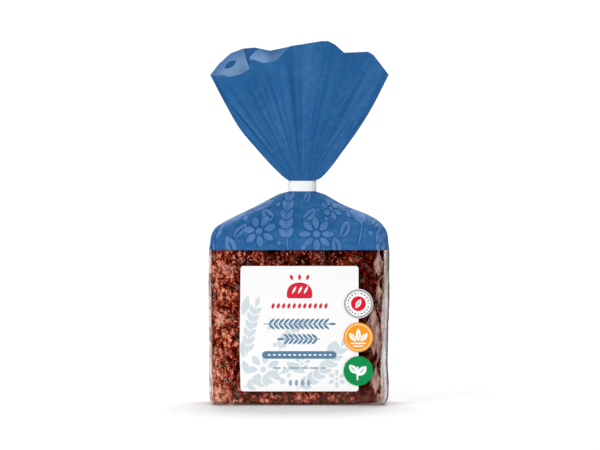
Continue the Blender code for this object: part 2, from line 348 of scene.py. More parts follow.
def fanForm(across, deep, rise):
    form = bagForm
    left, right = (through(fanOutline, rise, column) for column in (1, 2))
    middle, halfX = (right - left) / 2 * form["halfWidth"], (right + left) / 2 * form["halfWidth"]
    gusset = form["gussetDepth"] * ease(form["fanFloor"], 1, rise)
    gap = mix(form["neckHalfDepth"], form["fanHalfGap"], ease(0, 1, rise))
    gap = gap - 1.2 * mm * np.sin(math.pi * rise)
    amount = mix(form["neckFold"], form["rimFold"], ease(0, 0.9, rise))
    x = middle + across * halfX - np.copysign(gusset * (1 - np.abs(deep)), across)
    amount = amount * (1 - 0.6 * np.exp(-((across / 0.2) ** 2)) * (deep == -1))
    y = backBy + deep * gap * (1 - 0.35 * across**2 * rise) + amount * foldAt(across, deep)
    z = mix(neckTop, rimHeight(across, deep), rise)
    return x, y, z


def looseCrease(y, z):
    # how far the loose film of the right side dips, from 0 to 1
    wave = np.sin(2 * math.pi * (z + 0.35 * np.abs(y)) / bagForm["creaseLength"])
    return 0.5 + 0.5 * wave * noiseAt(5 + 0 * z, y, z, bagForm["creaseLength"])


# the loaf

loaf = {
    "low": 0.25 * mm,             # height of its underside
    "high": 101.5 * mm,
    "halfWidth": 50.5 * mm,
    "under": 1.25 * mm,           # how deep its front and back lie below the bag's outline
    "edgeRadii": (5.5 * mm, 5.5 * mm, 1.6 * mm),
    "spacing": 0.78 * mm,         # between the points of its mesh
    "bulge": 1.6 * mm,            # how much flatter its faces are than their middles
    "leftWave": (0.25 * mm, 4.1 * mm),        # height and length of the waves of its edges
    "rightWave": (0.4 * mm, 5.3 * mm),
    "coarseSize": 9 * mm,
    "coarseRelief": 0.55 * mm,
    "grainSize": 3.4 * mm,
    "grainRelief": 0.5 * mm,
    "fineSize": 1.5 * mm,
    "fineRelief": 0.22 * mm,
    "highestCrag": 0.5 * mm,
    # where the crust is painted paler or darker, as painted light and shade: start, full, its tone, its
    # contrast
    "left": (-30 * mm, -47 * mm, 0.15, 0.22),
    "right": (30 * mm, 38 * mm, -0.05, -0.5),
    "base": (26 * mm, 6 * mm, 0.065, 0.1),
    "top": (80 * mm, 88 * mm, 0.0, 0.3),
    "leftOffFront": 0.35,         # share of the left's light behind the front
}

# height, then how far the loaf reaches to the left and to the right, in millimetres
loafEdges = (
    (0, 50.9, 48.7), (14, 51.6, 49.3), (30, 51.8, 49.2), (44, 51.8, 49.3), (56, 52.1, 49.8),
    (70, 52.2, 50.4), (84, 52.5, 51.2), (102, 52.2, 51.6),
)


def loafEdge(z, column):
    return through(loafEdges, z / mm, column) * mm


def atFront(y):
    return ease(backBy - 17 * mm, backBy - 25 * mm, y)


def boxGrid(countX, countY, countZ):
    # the points of a box's surface from -1 to 1 each way, and its quads, all looking out
    counts = (countX, countY, countZ)
    points, faces, start = [], [], 0
    for axis in range(3):
        u, v = (axis + 1) % 3, (axis + 2) % 3
        for end in (0, 1):
            gridU, gridV = np.meshgrid(np.arange(counts[u] + 1), np.arange(counts[v] + 1), indexing="ij")
            place = np.zeros((gridU.size, 3), int)
            place[:, u], place[:, v], place[:, axis] = gridU.ravel(), gridV.ravel(), end * counts[axis]
            points.append(place)
            wide = counts[v] + 1
            cell = (np.arange(counts[u])[:, None] * wide + np.arange(counts[v])[None, :]).ravel() + start
            quad = np.stack([cell, cell + wide, cell + wide + 1, cell + 1], 1)
            faces.append(quad if end else quad[:, ::-1])
            start += len(place)
    unique, back = np.unique(np.concatenate(points), axis=0, return_inverse=True)
    return unique / np.array(counts) * 2 - 1, back.ravel()[np.concatenate(faces)]


def loafSurface():
    tall = loaf["high"] - loaf["low"]
    sizes = (2 * bagForm["halfWidth"], 2 * halfDepth, tall)
    unit, faces = boxGrid(*[max(2, round(size / loaf["spacing"])) for size in sizes])
    half = np.array([loaf["halfWidth"], halfDepth - loaf["under"], tall / 2])
    radii = np.array(loaf["edgeRadii"])
    box = unit * half
    core = np.clip(box, radii - half, half - radii)
    past = (box - core) / radii
    past /= np.linalg.norm(past, axis=1)[:, None]
    box = core + past * radii
    out = past / radii
    out /= np.linalg.norm(out, axis=1)[:, None]
    # its faces swell towards their middles
    away = np.abs(box / half)
    swell = loaf["bulge"] * (away[:, [1, 0, 0]] ** 2.5 + away[:, [2, 2, 1]] ** 2.5) / 2
    box = box - np.sign(box) * swell * np.abs(out)
    # its left side follows the film and its right side stands back from it
    z = box[:, 2] + loaf["low"] + tall / 2
    (leftHigh, leftLong), (rightHigh, rightLong) = loaf["leftWave"], loaf["rightWave"]
    left = loafEdge(z, 1) + leftHigh * np.sin(z / leftLong)
    right = loafEdge(z, 2) + rightHigh * np.sin(z / rightLong + 1)
    x = mix(-left, right, (box[:, 0] / half[0] + 1) / 2)
    return np.stack([x, box[:, 1] + backBy, z], 1), out, faces


def buildLoaf(crust):
    points, out, faces = loafSurface()
    x, y, z = points.T
    size = loaf["coarseSize"]
    coarse = noiseAt(x, y, z, size, 0.4) + 0.5 * noiseAt(x, y, z, size / 2, 3.3)
    grains = cellsAt(x, y, z, loaf["grainSize"])
    fine = noiseAt(x, y, z, loaf["fineSize"], 9)
    height = loaf["coarseRelief"] * coarse + loaf["grainRelief"] * (grains - 0.5) + loaf["fineRelief"] * fine
    height = np.minimum(height, loaf["highestCrag"])
    height *= ease(0, 3 * mm, z - loaf["low"]) * 0.85 + 0.15
    moved = points + out * height[:, None]
    piece = makePiece("rye_loaf", moved, faces.tolist(), [crust], "bread_bag")
    # painted light and shade: the crust is painted paler on its left and near its base, with more contrast
    # at its top, and darker on its right, as if the light came through the film most on its left and least
    # on its right
    lit = {side: ease(*loaf[side][:2], where)
           for side, where in (("left", x), ("right", x), ("base", z), ("top", z))}
    lit["left"] = lit["left"] * mix(loaf["leftOffFront"], 1, atFront(y))
    lit["right"] = lit["right"] * atFront(y)
    lit["top"] = lit["top"] * (1 - lit["left"])
    tone, contrast = (sum(share * loaf[side][column] for side, share in lit.items()) for column in (2, 3))
    relief = np.clip(0.5 + height / (1.6 * mm), 0, 1)
    keepValues(piece, relief=relief, grain=grains, tone=tone, contrast=1 + contrast)
    return moved, out, faces


kernels = {
    "count": 2600,
    "length": (2.0 * mm, 4.2 * mm),
    "slimness": 0.42,
    "flatness": 0.8,
    "proud": 0.32 * mm,           # how far the highest stands out of the crust
    "around": 7,                  # points round each, and steps along it
    "along": 4,
    # painted shade: where they are painted darker at the front, away from the lit left and most on the
    # right, from start to full, and how much
    "paintedShade": ((26 * mm, 38 * mm, 0.8), (-34 * mm, -26 * mm, 0.3)),
    "seed": 11,
}


def kernelShape():
    # a grain that reaches 1 each way: its points and its faces
    around, along = kernels["around"], kernels["along"]
    turns = np.linspace(0, 2 * math.pi, around, endpoint=False)
    levels = np.linspace(0, math.pi, along + 1)[1:-1]
    rings = [(math.cos(a), math.sin(a) * math.cos(t), math.sin(a) * math.sin(t))
             for a in levels for t in turns]
    unit = np.array([(1, 0, 0), *rings, (-1, 0, 0)])
    pairs = [(t, (t + 1) % around) for t in range(around)]
    quads = [(a + start, b + start, b + start + around, a + start + around)
             for start in range(1, 1 + (len(levels) - 1) * around, around) for a, b in pairs]
    last = len(unit) - 1
    caps = [(0, 1 + b, 1 + a) for a, b in pairs]
    caps += [(last, last - around + a, last - around + b) for a, b in pairs]
    return unit, quads + caps


def buildKernels(surface, material):
    # cracked rye kernels, half sunk in the crust
    points, out, faces = surface
    corners = points[faces]
    middles, outs = corners.mean(1), out[faces].mean(1)
    area = np.linalg.norm(np.cross(corners[:, 2] - corners[:, 0], corners[:, 3] - corners[:, 1]), axis=1)
    draw = np.random.default_rng(kernels["seed"])
    chosen = draw.choice(len(faces), kernels["count"], replace=False, p=area / area.sum())
    unit, unitFaces = kernelShape()
    allPoints, allFaces, tones = [], [], []
    for number, face in enumerate(chosen):
        here, up = middles[face], outs[face] / np.linalg.norm(outs[face])
        side = np.cross(up, draw.normal(size=3))
        side /= np.linalg.norm(side)
        third = np.cross(up, side)
        length = draw.uniform(*kernels["length"])
        wide = length * kernels["slimness"] * draw.uniform(0.8, 1.3)
        tall = wide * kernels["flatness"]
        lift = draw.uniform(-0.5, 1) * kernels["proud"] - tall / 2
        shape = unit * np.array([length / 2, wide / 2, tall / 2])
        shape[:, 0] *= 1 - 0.25 * np.sign(shape[:, 0]) * draw.uniform(0, 1)
        allPoints.append(here + up * lift + shape @ np.stack([side, third, up]))
        start = number * len(unit)
        allFaces += [tuple(start + i for i in f) for f in unitFaces]
        paintedShade = sum(share * ease(start, full, here[0]) for start, full, share in kernels["paintedShade"])
        tones += [draw.uniform() * (1 - min(paintedShade * atFront(here[1]), 0.8))] * len(unit)
    allPoints = np.concatenate(allPoints)
    piece = makePiece("rye_kernels", allPoints, allFaces, [material], "bread_bag")
    keepValues(piece, tone=tones)


crustLook = {
    # size of each texture and its share in the scale from pits to crags
    "speckle": (2.2 * mm, 0.9),
    "patches": (7.7 * mm, 0.3),
    # painted glints: small pale flecks that stand for the film's glints on the crags
    "paintedGlints": (0.9 * mm, 0.17),
    # the relief paints the pits darker and the crags paler: painted shade and light
    "relief": 0.34,
    "middle": 0.815,              # what the textures add up to on average
    "average": 0.458,             # the average crust's place on the scale
    "ochre": srgb(122, 50, 16),
    "ochreSize": 5 * mm,
    "ochreShare": 0.22,
    # painted shade: the cracks between grains are darkened towards the darkest crust colour
    "crackShade": 0.35,           # how much of its colour shows in the cracks between grains
    "bump": 0.5 * mm,
}
crustColours = (
    # place on the scale from the pits to the palest crags, and colour; the dark end also carries painted
    # shade in the pits and cracks, the pale end painted highlights
    (0.36, srgb(22, 0, 0)),
    (0.45, srgb(76, 4, 1)),
    (0.53, srgb(140, 34, 17)),
    (0.62, srgb(206, 96, 63)),
    (0.74, srgb(242, 184, 158)),
)
kernelColours = (srgb(84, 12, 8), srgb(236, 152, 116))


def crustMaterial():
    look = crustLook
    material, tree, shader = newMaterial("rye crust")
    relief, grain, tone, contrast = valuesOf(tree, "relief", "grain", "tone", "contrast")
    (patchSize, patchShare), (glintSize, glintShare) = look["patches"], look["paintedGlints"]
    patches = noiseTexture(tree, patchSize, 2)
    speckle = noiseTexture(tree, look["speckle"][0], 4, 0.72, stretched(tree, 1.1, 1, 0.65))
    # painted glints of the film, as pale flecks
    paintedGlints = step(tree, noiseTexture(tree, glintSize, 2, 0.6), 0.53, 0.68)
    height = addUp(tree, times(tree, speckle, look["speckle"][1]),
                   ((relief, look["relief"]), (patches, patchShare), (paintedGlints, glintShare)))
    # tone and contrast bring in the painted light and shade of the loaf's sides
    height = times(tree, minus(tree, height, look["middle"]), contrast)
    height = plus(tree, plus(tree, height, look["average"]), tone)
    ramp = addNode(tree, "ValToRGB", {0: height})
    elements = ramp.color_ramp.elements
    while len(elements) < len(crustColours):
        elements.new(0.5)
    for element, (position, colour) in zip(elements, crustColours):
        element.position, element.color = position, colour
    ochre = times(tree, step(tree, noiseTexture(tree, look["ochreSize"], 2), 0.5, 0.62), look["ochreShare"])
    colour = paint(tree, ramp.outputs[0], (ochre, look["ochre"]))
    # painted shade in the cracks between grains
    shade = look["crackShade"]
    lit = plus(tree, shade, times(tree, step(tree, grain, 0.0, 0.25), 1 - shade))
    colour = paint(tree, crustColours[0][1], (lit, colour))
    setFinish(tree, shader, colour, 0.8, 0.0)
    addBump(tree, shader, noiseTexture(tree, 1.0 * mm, 3, 0.6), look["bump"], 0.8)
    return material


def kernelMaterial():
    material, tree, shader = newMaterial("rye kernel")
    # the tone holds each kernel's own random tone and its painted shade
    tone = plus(tree, compute(tree, "POWER", valuesOf(tree, "tone")[0], 1.6),
                minus(tree, noiseTexture(tree, 1.2 * mm, 2), 0.5))
    dark, pale = kernelColours
    setFinish(tree, shader, paint(tree, dark, (tone, pale)), 0.4, 0.1)
    addBump(tree, shader, noiseTexture(tree, 0.5 * mm, 2), 0.2 * mm, 0.5)
    return material


loafMade = buildLoaf(crustMaterial())
buildKernels(loafMade, kernelMaterial())
print("loaf: crust and kernels made")


# the film: one tube, clear below the print line and blue above it

film = {
    "panelStations": 190,
    "sideStations": 60,
    "clearSpacing": 0.85 * mm,
    "shoulderSpacing": 0.5 * mm,
    "fanRings": 125,
    "baseRings": 10,
    "inset": 0.1 * mm,            # of the clear film from the bag's outline
    "rightProud": 0.35 * mm,      # how far it stands out at its right front corner
    "facetDepth": 0.35 * mm,
    "crinkle": 0.32 * mm,
    "baseHollow": 0.15 * mm,
    "shoulderDip": 0.6 * mm,
    "pleat": 0.2 * mm,
    "ray": 0.25 * mm,
    "printScale": 1.25,
    "printRise": 1.06,            # how much the print is squeezed upright
}

# facets of the loose film on the right of the front, painted with a hazy sheen where they catch the light:
# centre x, z, half width, half height
looseFacets = (
    (47.1 * mm, 83.8 * mm, 2.8 * mm, 7.9 * mm),
    (47.4 * mm, 66.7 * mm, 1.7 * mm, 7.2 * mm),
    (44.0 * mm, 44.5 * mm, 4.3 * mm, 14.8 * mm),
    (46.9 * mm, 33.5 * mm, 1.3 * mm, 9.0 * mm),
    (45.3 * mm, 15.3 * mm, 3.1 * mm, 8.4 * mm),
    (46.8 * mm, 4.6 * mm, 0.8 * mm, 3.6 * mm),
)


def ridges(x, y, z, size, shift=0.0, sharp=2.0):
    return (1 - np.abs(noiseAt(x, y, z, size, shift))) ** sharp


def clearCrinkle(x, y, z):
    # 0 to about 1: long upright wrinkles and finer ones across them
    long = ridges(x * 2.2, y * 2.2, z, 16 * mm, 0.0, 4)
    short = ridges(x, y, z * 1.4, 5 * mm, 4.0, 5)
    return 0.6 * long + 0.4 * short


def facetField(x, z):
    # 0 at a facet's edge, 1 at its middle and less than 0 outside it
    field = np.full(x.shape, -1.0)
    x = x + 1.0 * mm * noiseAt(x, 0 * x, z, 7 * mm, 2.0) + 0.5 * mm * noiseAt(x, 0 * x, z, 2.6 * mm, 5.0)
    z = z + 2.5 * mm * noiseAt(x, 0 * x, z, 6 * mm, 8.0)
    for centreX, centreZ, reachX, reachZ in looseFacets:
        field = np.maximum(field, 1 - np.abs(x - centreX) / reachX - np.abs(z - centreZ) / reachZ)
    return field


across, deep = stationsAround(film["panelStations"], film["sideStations"])
stationCount = len(across)
across, deep = across[None, :], deep[None, :]
isFront, isBack = (deep == -1).astype(float), (deep == 1).astype(float)


def clearForm(heights):
    # the clear film's points, which way is out, and how far each is inside a facet
    x, y, outX, outY = filledForm(across, deep, heights)
    z = heights + 0 * x
    corner = bagForm["cornerRadius"]
    pastX = x - (through(bagOutline, heights, 2) * bagForm["halfWidth"] - corner)
    pastY = np.abs(y - backBy) - (halfDepth - corner)
    loose = ease(bagForm["looseFrom"], 1, across)
    loose = loose * np.maximum(ease(0.5 * mm, -2 * mm, pastX), mix(0.12, 1, ease(0, -8 * mm, pastY)))
    dip = bagForm["creaseDepth"] * looseCrease(y, z) * loose * ease(0, 6 * mm, z)
    facets = np.where(isFront > 0, facetField(x, z), -1)
    inside, ridge = ease(-0.08, 0.04, facets), np.clip(facets, 0, 1)
    inset = mix(film["inset"], -film["rightProud"], ease(46 * mm, 51 * mm, x) * ease(0, 8 * mm, z))
    below = inset + film["crinkle"] * clearCrinkle(x, y, z) * ease(0, 3 * mm, z) + dip
    below = below * ease(bagForm["printLine"], bagForm["printLine"] - 3 * mm, z)
    below = mix(below, film["facetDepth"] * (1 - ridge), inside)
    return x - outX * below, y - outY * below, z, outX, outY, facets


def closedBase(points):
    # rings that shrink to the middle of the base, with the flat seal across it
    hollow, first = film["baseHollow"], points[:stationCount]
    centre = np.array([0, backBy, hollow])
    rings = [centre + (first - centre) * share for share in np.linspace(1, 0, film["baseRings"] + 2)[1:-1]]
    for ring in rings:
        ring[:, 2] = hollow - hollow * np.exp(-((ring[:, 1] - backBy) / (1.2 * mm)) ** 2)
    last, faces = np.arange(stationCount), []
    for number in range(len(rings)):
        ring = len(points) + number * stationCount + np.arange(stationCount)
        faces += np.stack([last, ring, np.roll(ring, -1), np.roll(last, -1)], 1).tolist()
        last = ring
    points = np.concatenate([points, *rings, centre[None]])
    middle = len(points) - 1
    return points, faces + [(int(a), middle, int(b)) for a, b in zip(last, np.roll(last, -1))]


def buildClearFilm(material):
    low = [0, 0.25 * mm, 0.7 * mm, 1.4 * mm, 2.2 * mm]
    steps = round((bagForm["printLine"] - 3 * mm) / film["clearSpacing"])
    heights = np.array([*low, *np.linspace(3 * mm, bagForm["printLine"], steps + 1)])[:, None]
    x, y, z, outX, outY, facets = clearForm(heights)
    points, baseFaces = closedBase(np.stack([x, y, z], 2).reshape(-1, 3))
    faces = tubeFaces(len(heights), stationCount) + baseFaces
    piece = makePiece("clear_film", points, faces, [material], "bread_bag")
    flatSide = ease(0.96, 0.999, np.abs(outX)) + 0 * x
    # where it hangs past the loaf on the right, and where the loaf's edge shows through it
    past = (x - loafEdge(z, 2)) / mm
    loose = ease(-0.3, 1.2, past) * (1 - 0.75 * flatSide)
    reach = 0.9 + 0.5 * np.sin(z / (6.1 * mm)) + 0.6 * ease(56 * mm, 66 * mm, z)
    fringe = ease(-1.6, -0.3, past) * ease(reach + 0.9, reach - 0.4, past) * (1 - flatSide) * (outY <= 0)
    # how far it has turned from the front to a side, from 0 to 1, and less than 0 on the left
    turned = np.arcsin(np.clip(outX, -1, 1)) / (math.pi / 2) + 0 * x
    # how strongly its creases are painted with pale highlight streaks, most on its left and right
    creaseHighlight = 0.3 + 0.7 * np.maximum(ease(-30 * mm, -44 * mm, x), ease(43 * mm, 48 * mm, x))
    creaseHighlight = creaseHighlight * (1 - 0.7 * flatSide * (x > 0)) * (1 - 0.6 * ease(-0.08, 0.04, facets))
    seam = ease(0.6 * mm, 0.15 * mm, z)
    # the base has one value of each
    for name, values, atBase in (("facet", facets, -1), ("loose", loose, 0), ("fringe", fringe, 0),
                                 ("turned", turned, 0), ("seam", seam, 1), ("creaseHighlight", creaseHighlight, 0.3)):
        extra = np.full(len(points) - values.size, atBase)
        keepValues(piece, **{name: np.concatenate([values.ravel(), extra])})


filmColours = {
    # the colour of the film's haze near its base and of the painted sheen on its facets
    "haze": srgb(206, 162, 150),
    "looseHaze": srgb(240, 235, 229),
    "fringe": srgb(150, 124, 112),
    # the colour of the painted highlights on creases
    "highlightStreak": srgb(238, 176, 152),
    # painted reflection: the broken pale rim where the film turns at its left edge
    "rim": srgb(250, 236, 222),
    # painted dark line where the film turns at its right front corner, in place of its reflection
    "edge": srgb(42, 42, 48),
    "seam": srgb(226, 208, 196),
    "gloss": (0.97, 0.9, 0.87, 1),
    "blue": srgb(38, 100, 156),
    "deepBlue": srgb(31, 93, 150),
    # pale blue of the print, also painted as highlights on crease crests
    "pale": srgb(76, 122, 172),
    "lilac": srgb(90, 130, 184),
    # painted light on the print inside the mouth
    "paintedLightPale": srgb(126, 164, 206),
    # dark blue of the outlines round the print, also painted as shade beside creases and on side seams
    "line": srgb(16, 70, 128),
}

# how much each mark of the clear film hides of what lies behind it
filmCover = {
    # painted sheen on the facets
    "facetSheen": 0.78,
    "fringe": 0.5,
    "loose": 0.3,
    # painted highlights on the creases
    "highlightStreaks": 0.6,
    "low": 0.055,                 # near the base
    "seam": 0.6,
    # painted pale reflection on the left edge
    "rim": 0.68,
    # painted dark line on the right front corner
    "edge": 0.95,
}
clearLook = {
    "roughness": 0.4,
    "specular": 0.2,
    "bump": 0.4 * mm,
    "glossRoughness": 0.14,
    "glossIor": 1.14,
    "leastGloss": 0.009,          # taken off, so that film seen straight on is clear
    # the real gloss is taken off where the pale left rim is painted
    "rimWithoutGloss": 0.85,
}


def contourLines(tree, vector, size, width):
    # thin wandering lines, where a noise passes its middle value
    value = noiseTexture(tree, size, 3, 0.5, vector)
    off = compute(tree, "ABSOLUTE", minus(tree, value, 0.5))
    return minus(tree, 1.0, step(tree, off, 0.0, width))


def paintedFilmHighlights(tree, creaseHighlight, facets):
    # painted highlights: pale lines on the film's creases and round its facets
    lines = contourLines(tree, stretched(tree, 1, 1, 0.55), 5 * mm, 0.03)
    fine = contourLines(tree, stretched(tree, 1, 1, 0.6), 2.2 * mm, 0.05)
    patches = step(tree, noiseTexture(tree, 4 * mm, 2), 0.42, 0.66)
    highlightStreaks = times(tree, compute(tree, "MAXIMUM", lines, times(tree, fine, 0.7)), patches)
    border = times(tree, step(tree, facets, -0.12, -0.02), step(tree, facets, 0.12, 0.02))
    return compute(tree, "MAXIMUM", times(tree, highlightStreaks, creaseHighlight), times(tree, border, 0.4))


def clearFilmMaterial():
    # see-through film with some haze, painted highlights as pale streaks on its creases, painted sheen on
    # its facets, painted reflections at its turned edges, and gloss where it turns away
    look, colours = clearLook, filmColours
    material, tree, shader = newMaterial("clear film")
    facets, loose, fringe, turned, seam, creaseHighlight = valuesOf(
        tree, "facet", "loose", "fringe", "turned", "seam", "creaseHighlight")
    where = addNode(tree, "SeparateXYZ", {0: place(tree)}).outputs
    # painted reflections where the film turns away: a dark line at the right front corner and a broken pale
    # one on the left
    ahead = step(tree, where["Y"], 2 * mm, -2 * mm)
    edge = times(tree, step(tree, turned, 0.64, 0.7), step(tree, turned, 0.97, 0.9))
    rim = times(tree, step(tree, turned, -0.46, -0.68), step(tree, turned, -0.95, -0.87))
    edge, rim = times(tree, edge, ahead), times(tree, rim, ahead)
    broken = step(tree, noiseTexture(tree, 9 * mm, 2, 0.5, stretched(tree, 0.3, 0.3, 1)), 0.42, 0.6)
    rim = times(tree, rim, plus(tree, 0.25, times(tree, broken, 0.75)))
    highlightStreaks = paintedFilmHighlights(tree, creaseHighlight, facets)
    highlightStreakColour = paint(tree, colours["highlightStreak"], (loose, colours["looseHaze"]))
    colour = paint(tree, colours["haze"], (loose, colours["looseHaze"]), (fringe, colours["fringe"]),
                   (highlightStreaks, highlightStreakColour), (seam, colours["seam"]), (rim, colours["rim"]),
                   (edge, colours["edge"]))
    setFinish(tree, shader, colour, look["roughness"], look["specular"])
    crinkles = noiseTexture(tree, 2.0 * mm, 3, 0.55, stretched(tree, 1, 1, 0.6))
    normal = addBump(tree, shader, crinkles, look["bump"], 0.6)
    upright = step(tree, noiseTexture(tree, 1.6 * mm, 3, 0.6, stretched(tree, 1, 1, 0.22)), 0.36, 0.64)
    # painted sheen on the facets of the loose film
    facetSheen = times(tree, step(tree, facets, -0.08, 0.2), plus(tree, 0.35, times(tree, upright, 0.65)))
    marks = {"facetSheen": facetSheen, "fringe": fringe, "loose": loose, "highlightStreaks": highlightStreaks,
             "low": step(tree, where["Z"], 12 * mm, 3 * mm), "seam": seam, "rim": rim, "edge": edge}
    cover = addUp(tree, 0.0, [(marks[name], share) for name, share in filmCover.items()], clamp=True)
    clear = addNode(tree, "BsdfTransparent")
    veil = addNode(tree, "MixShader", {0: cover, 1: clear.outputs[0], 2: shader.outputs[0]})
    gloss = addNode(tree, "BsdfPrincipled", {"Base Color": colours["gloss"], "Metallic": 1.0,
                                             "Roughness": look["glossRoughness"], "Normal": normal})
    facing = addNode(tree, "Fresnel", {"IOR": look["glossIor"], "Normal": normal}).outputs[0]
    shine = minus(tree, facing, look["leastGloss"], clamp=True)
    # the real gloss gives way where the edge line and the rim are painted
    shine = times(tree, shine, minus(tree, 1.0, edge))
    shine = times(tree, shine, minus(tree, 1.0, times(tree, rim, look["rimWithoutGloss"])))
    both = addNode(tree, "MixShader", {0: shine, 1: veil.outputs[0], 2: gloss.outputs[0]})
    showSurface(tree, both)
    return material


buildClearFilm(clearFilmMaterial())
print("clear film made")


# the printed part of the film

# sharp creases of the fan's front and back, as two ends in x and z, their height and width
frontCreases = (
    ((-41.7, 180.5), (-11.6, 146.3), 0.35, 1.0),
    ((-28.1, 188.8), (-8.7, 150.5), -0.5, 0.9),
    ((-22.2, 188.2), (-6.9, 154.6), 0.4, 0.8),
    ((-16.3, 193.5), (-5.7, 161.7), -0.3, 0.9),
    ((42.7, 205.3), (11.3, 152.5), 0.45, 1.1),
    ((35.6, 178.4), (18.5, 154.6), -0.4, 1.2),
)
shoulderCreases = (
    ((10.8, 124.3), (41.2, 101.8), -0.25, 0.8),
    ((12.0, 119.8), (24.0, 104.0), 0.2, 0.7),
    ((-8.0, 124.3), (-40.0, 102.5), -0.25, 0.9),
    ((-13.0, 118.0), (-47.0, 98.0), 0.2, 0.8),
)
backCreases = (
    ((-40.0, 203.0), (-9.0, 150.0), 0.6, 1.0),
    ((-20.0, 206.0), (-4.0, 158.0), -0.4, 0.9),
    ((3.0, 210.0), (3.0, 150.0), 0.4, 0.9),
    ((22.0, 200.0), (9.0, 152.0), -0.5, 1.0),
    ((38.0, 198.0), (13.0, 152.0), 0.6, 1.1),
)


def creaseField(x, z, creases):
    # one-sided folds: the film rises slowly to the line and drops back at once; the line given back is
    # painted as a highlight on the crest with a band of painted shade beside it
    height, line = np.zeros(x.shape), np.zeros(x.shape)
    for (startX, startZ), (endX, endZ), rise, width in creases:
        start, end = np.array([startX, startZ]) * mm, np.array([endX, endZ]) * mm
        along = end - start
        length = np.linalg.norm(along)
        along = along / length
        offX, offZ = x - start[0], z - start[1]
        down = (offX * along[0] + offZ * along[1]) / length
        side = offX * along[1] - offZ * along[0]
        fade = ease(-0.08, 0.08, down) * ease(1.1, 0.85, down)
        slope = np.where(side > 0, np.exp(-side / (3.5 * width * mm)), np.exp(side / (0.45 * width * mm)))
        height += rise * mm * slope * fade
        line = np.maximum(line, np.exp(-((side / (0.45 * width * mm)) ** 2)) * fade)
        line -= 0.3 * np.exp(-(((side + 2 * width * mm) / (1.5 * width * mm)) ** 2)) * fade
    return height, line


def pleats(across, away):
    # the fine pleats next to the tape, which die out away from it
    waves = np.sin(37 * across + 2 * np.sin(6 * across)) + 0.6 * np.sin(61 * across + 1)
    return film["pleat"] * waves * np.exp(-away / (8 * mm))


def rays(x, z, shift):
    # soft bands that run out from the neck
    angle = (x - neckCentre) / (z - neckTop + 7 * mm)
    return noiseAt(angle, 0 * x, 0 * x, 0.06, shift) + 0.5 * noiseAt(angle, 0 * x, 0 * x, 0.025, shift + 4)


def discField(x, z, centre, radius):
    return radius - np.hypot(x - centre[0], z - centre[1])


def leafField(x, z, base, length, width, angle):
    # inside a pointed leaf that starts at its base and leans by an angle in degrees
    turn = math.radians(angle)
    along = (x - base[0]) * math.sin(turn) + (z - base[1]) * math.cos(turn)
    side = (x - base[0]) * math.cos(turn) - (z - base[1]) * math.sin(turn)
    half = width / 2
    radius = (length**2 / 4 + half**2) / (2 * half)
    return radius - np.hypot(along - length / 2, np.abs(side) + radius - half)


def stemField(x, z, points, width):
    # inside a rounded line through the points
    best = np.full(x.shape, -1e3)
    for (startX, startZ), (endX, endZ) in zip(points, points[1:]):
        dx, dz = endX - startX, endZ - startZ
        share = np.clip(((x - startX) * dx + (z - startZ) * dz) / (dx * dx + dz * dz), 0, 1)
        best = np.maximum(best, width / 2 - np.hypot(x - startX - share * dx, z - startZ - share * dz))
    return best


def bent(base, length, angle, bend, steps=7):
    # points along a stem that starts at its base and bends as it rises, in millimetres
    points, turn = [base], math.radians(angle)
    for i in range(steps):
        x, z = points[-1]
        points.append((x + length / steps * math.sin(turn), z + length / steps * math.cos(turn)))
        turn += math.radians(bend) / steps
    return points


def layered(fields, gap=0.32):
    # each shape over the ones before it, with a gap of bare film round it
    shown = np.full(fields[0].shape, -1e3)
    for field in fields:
        shown = np.where(field > -gap, field, np.maximum(shown, field))
    return shown


def pointRound(centre, radius, angle):
    # a point at an angle in degrees from upright
    turn = math.radians(angle)
    return centre[0] + radius * math.sin(turn), centre[1] + radius * math.cos(turn)


def earParts(base, length, angle, bend, pairs, first, reach, spread=34):
    # the stem of an ear of grain, and the base and lean of its kernels: pairs, and one at its tip
    points, grains = bent(base, length, angle, bend, 12), []
    for i in range(pairs + 1):
        at = first + reach * i / pairs
        low = min(int(at), 11)
        here = tuple(mix(a, b, at - low) for a, b in zip(points[low], points[low + 1]))
        for side in ((-1, 1) if i < pairs else (0,)):
            grains.append((here, angle + bend * at / 12 + spread * side))
    return points, grains


def earField(x, z, base, length, angle, bend, kernel, pairs):
    points, grains = earParts(base, length, angle, bend, pairs, 3.2, 8.6)
    fields = [leafField(x, z, at, *kernel, lean) for at, lean in grains]
    return layered([stemField(x, z, points, 0.9)] + fields)


def bladeField(x, z, base, length, width, angle):
    # a leaf with a bare rib
    rib = leafField(x, z, base, length * 0.8, 0.7, angle)
    return np.minimum(leafField(x, z, base, length, width, angle), -rib - 0.12)


def blossomField(x, z, centre, radius, petals, turn=0.0):
    # a flower of separate petals round a small disc
    turns = [turn + 360 * i / petals for i in range(petals)]
    starts = [pointRound(centre, 0.3 * radius, angle) for angle in turns]
    fields = [leafField(x, z, start, 0.72 * radius, 2.9 * radius / petals, angle)
              for start, angle in zip(starts, turns)]
    return layered(fields + [discField(x, z, centre, 0.2 * radius)])


def podField(x, z, base, angle, size):
    # a round seed pod with a flat crown on a stem
    stem = bent(base, 2.6 * size, angle, 8)
    field = stemField(x, z, stem, 0.8)
    top = stem[-1]
    field = np.maximum(field, discField(x, z, (top[0], top[1] + 0.6 * size), 0.75 * size))
    crown = [(top[0] - 0.6 * size, top[1] + 1.5 * size), (top[0] + 0.6 * size, top[1] + 1.5 * size)]
    return layered([field, stemField(x, z, crown, 0.35 * size)])


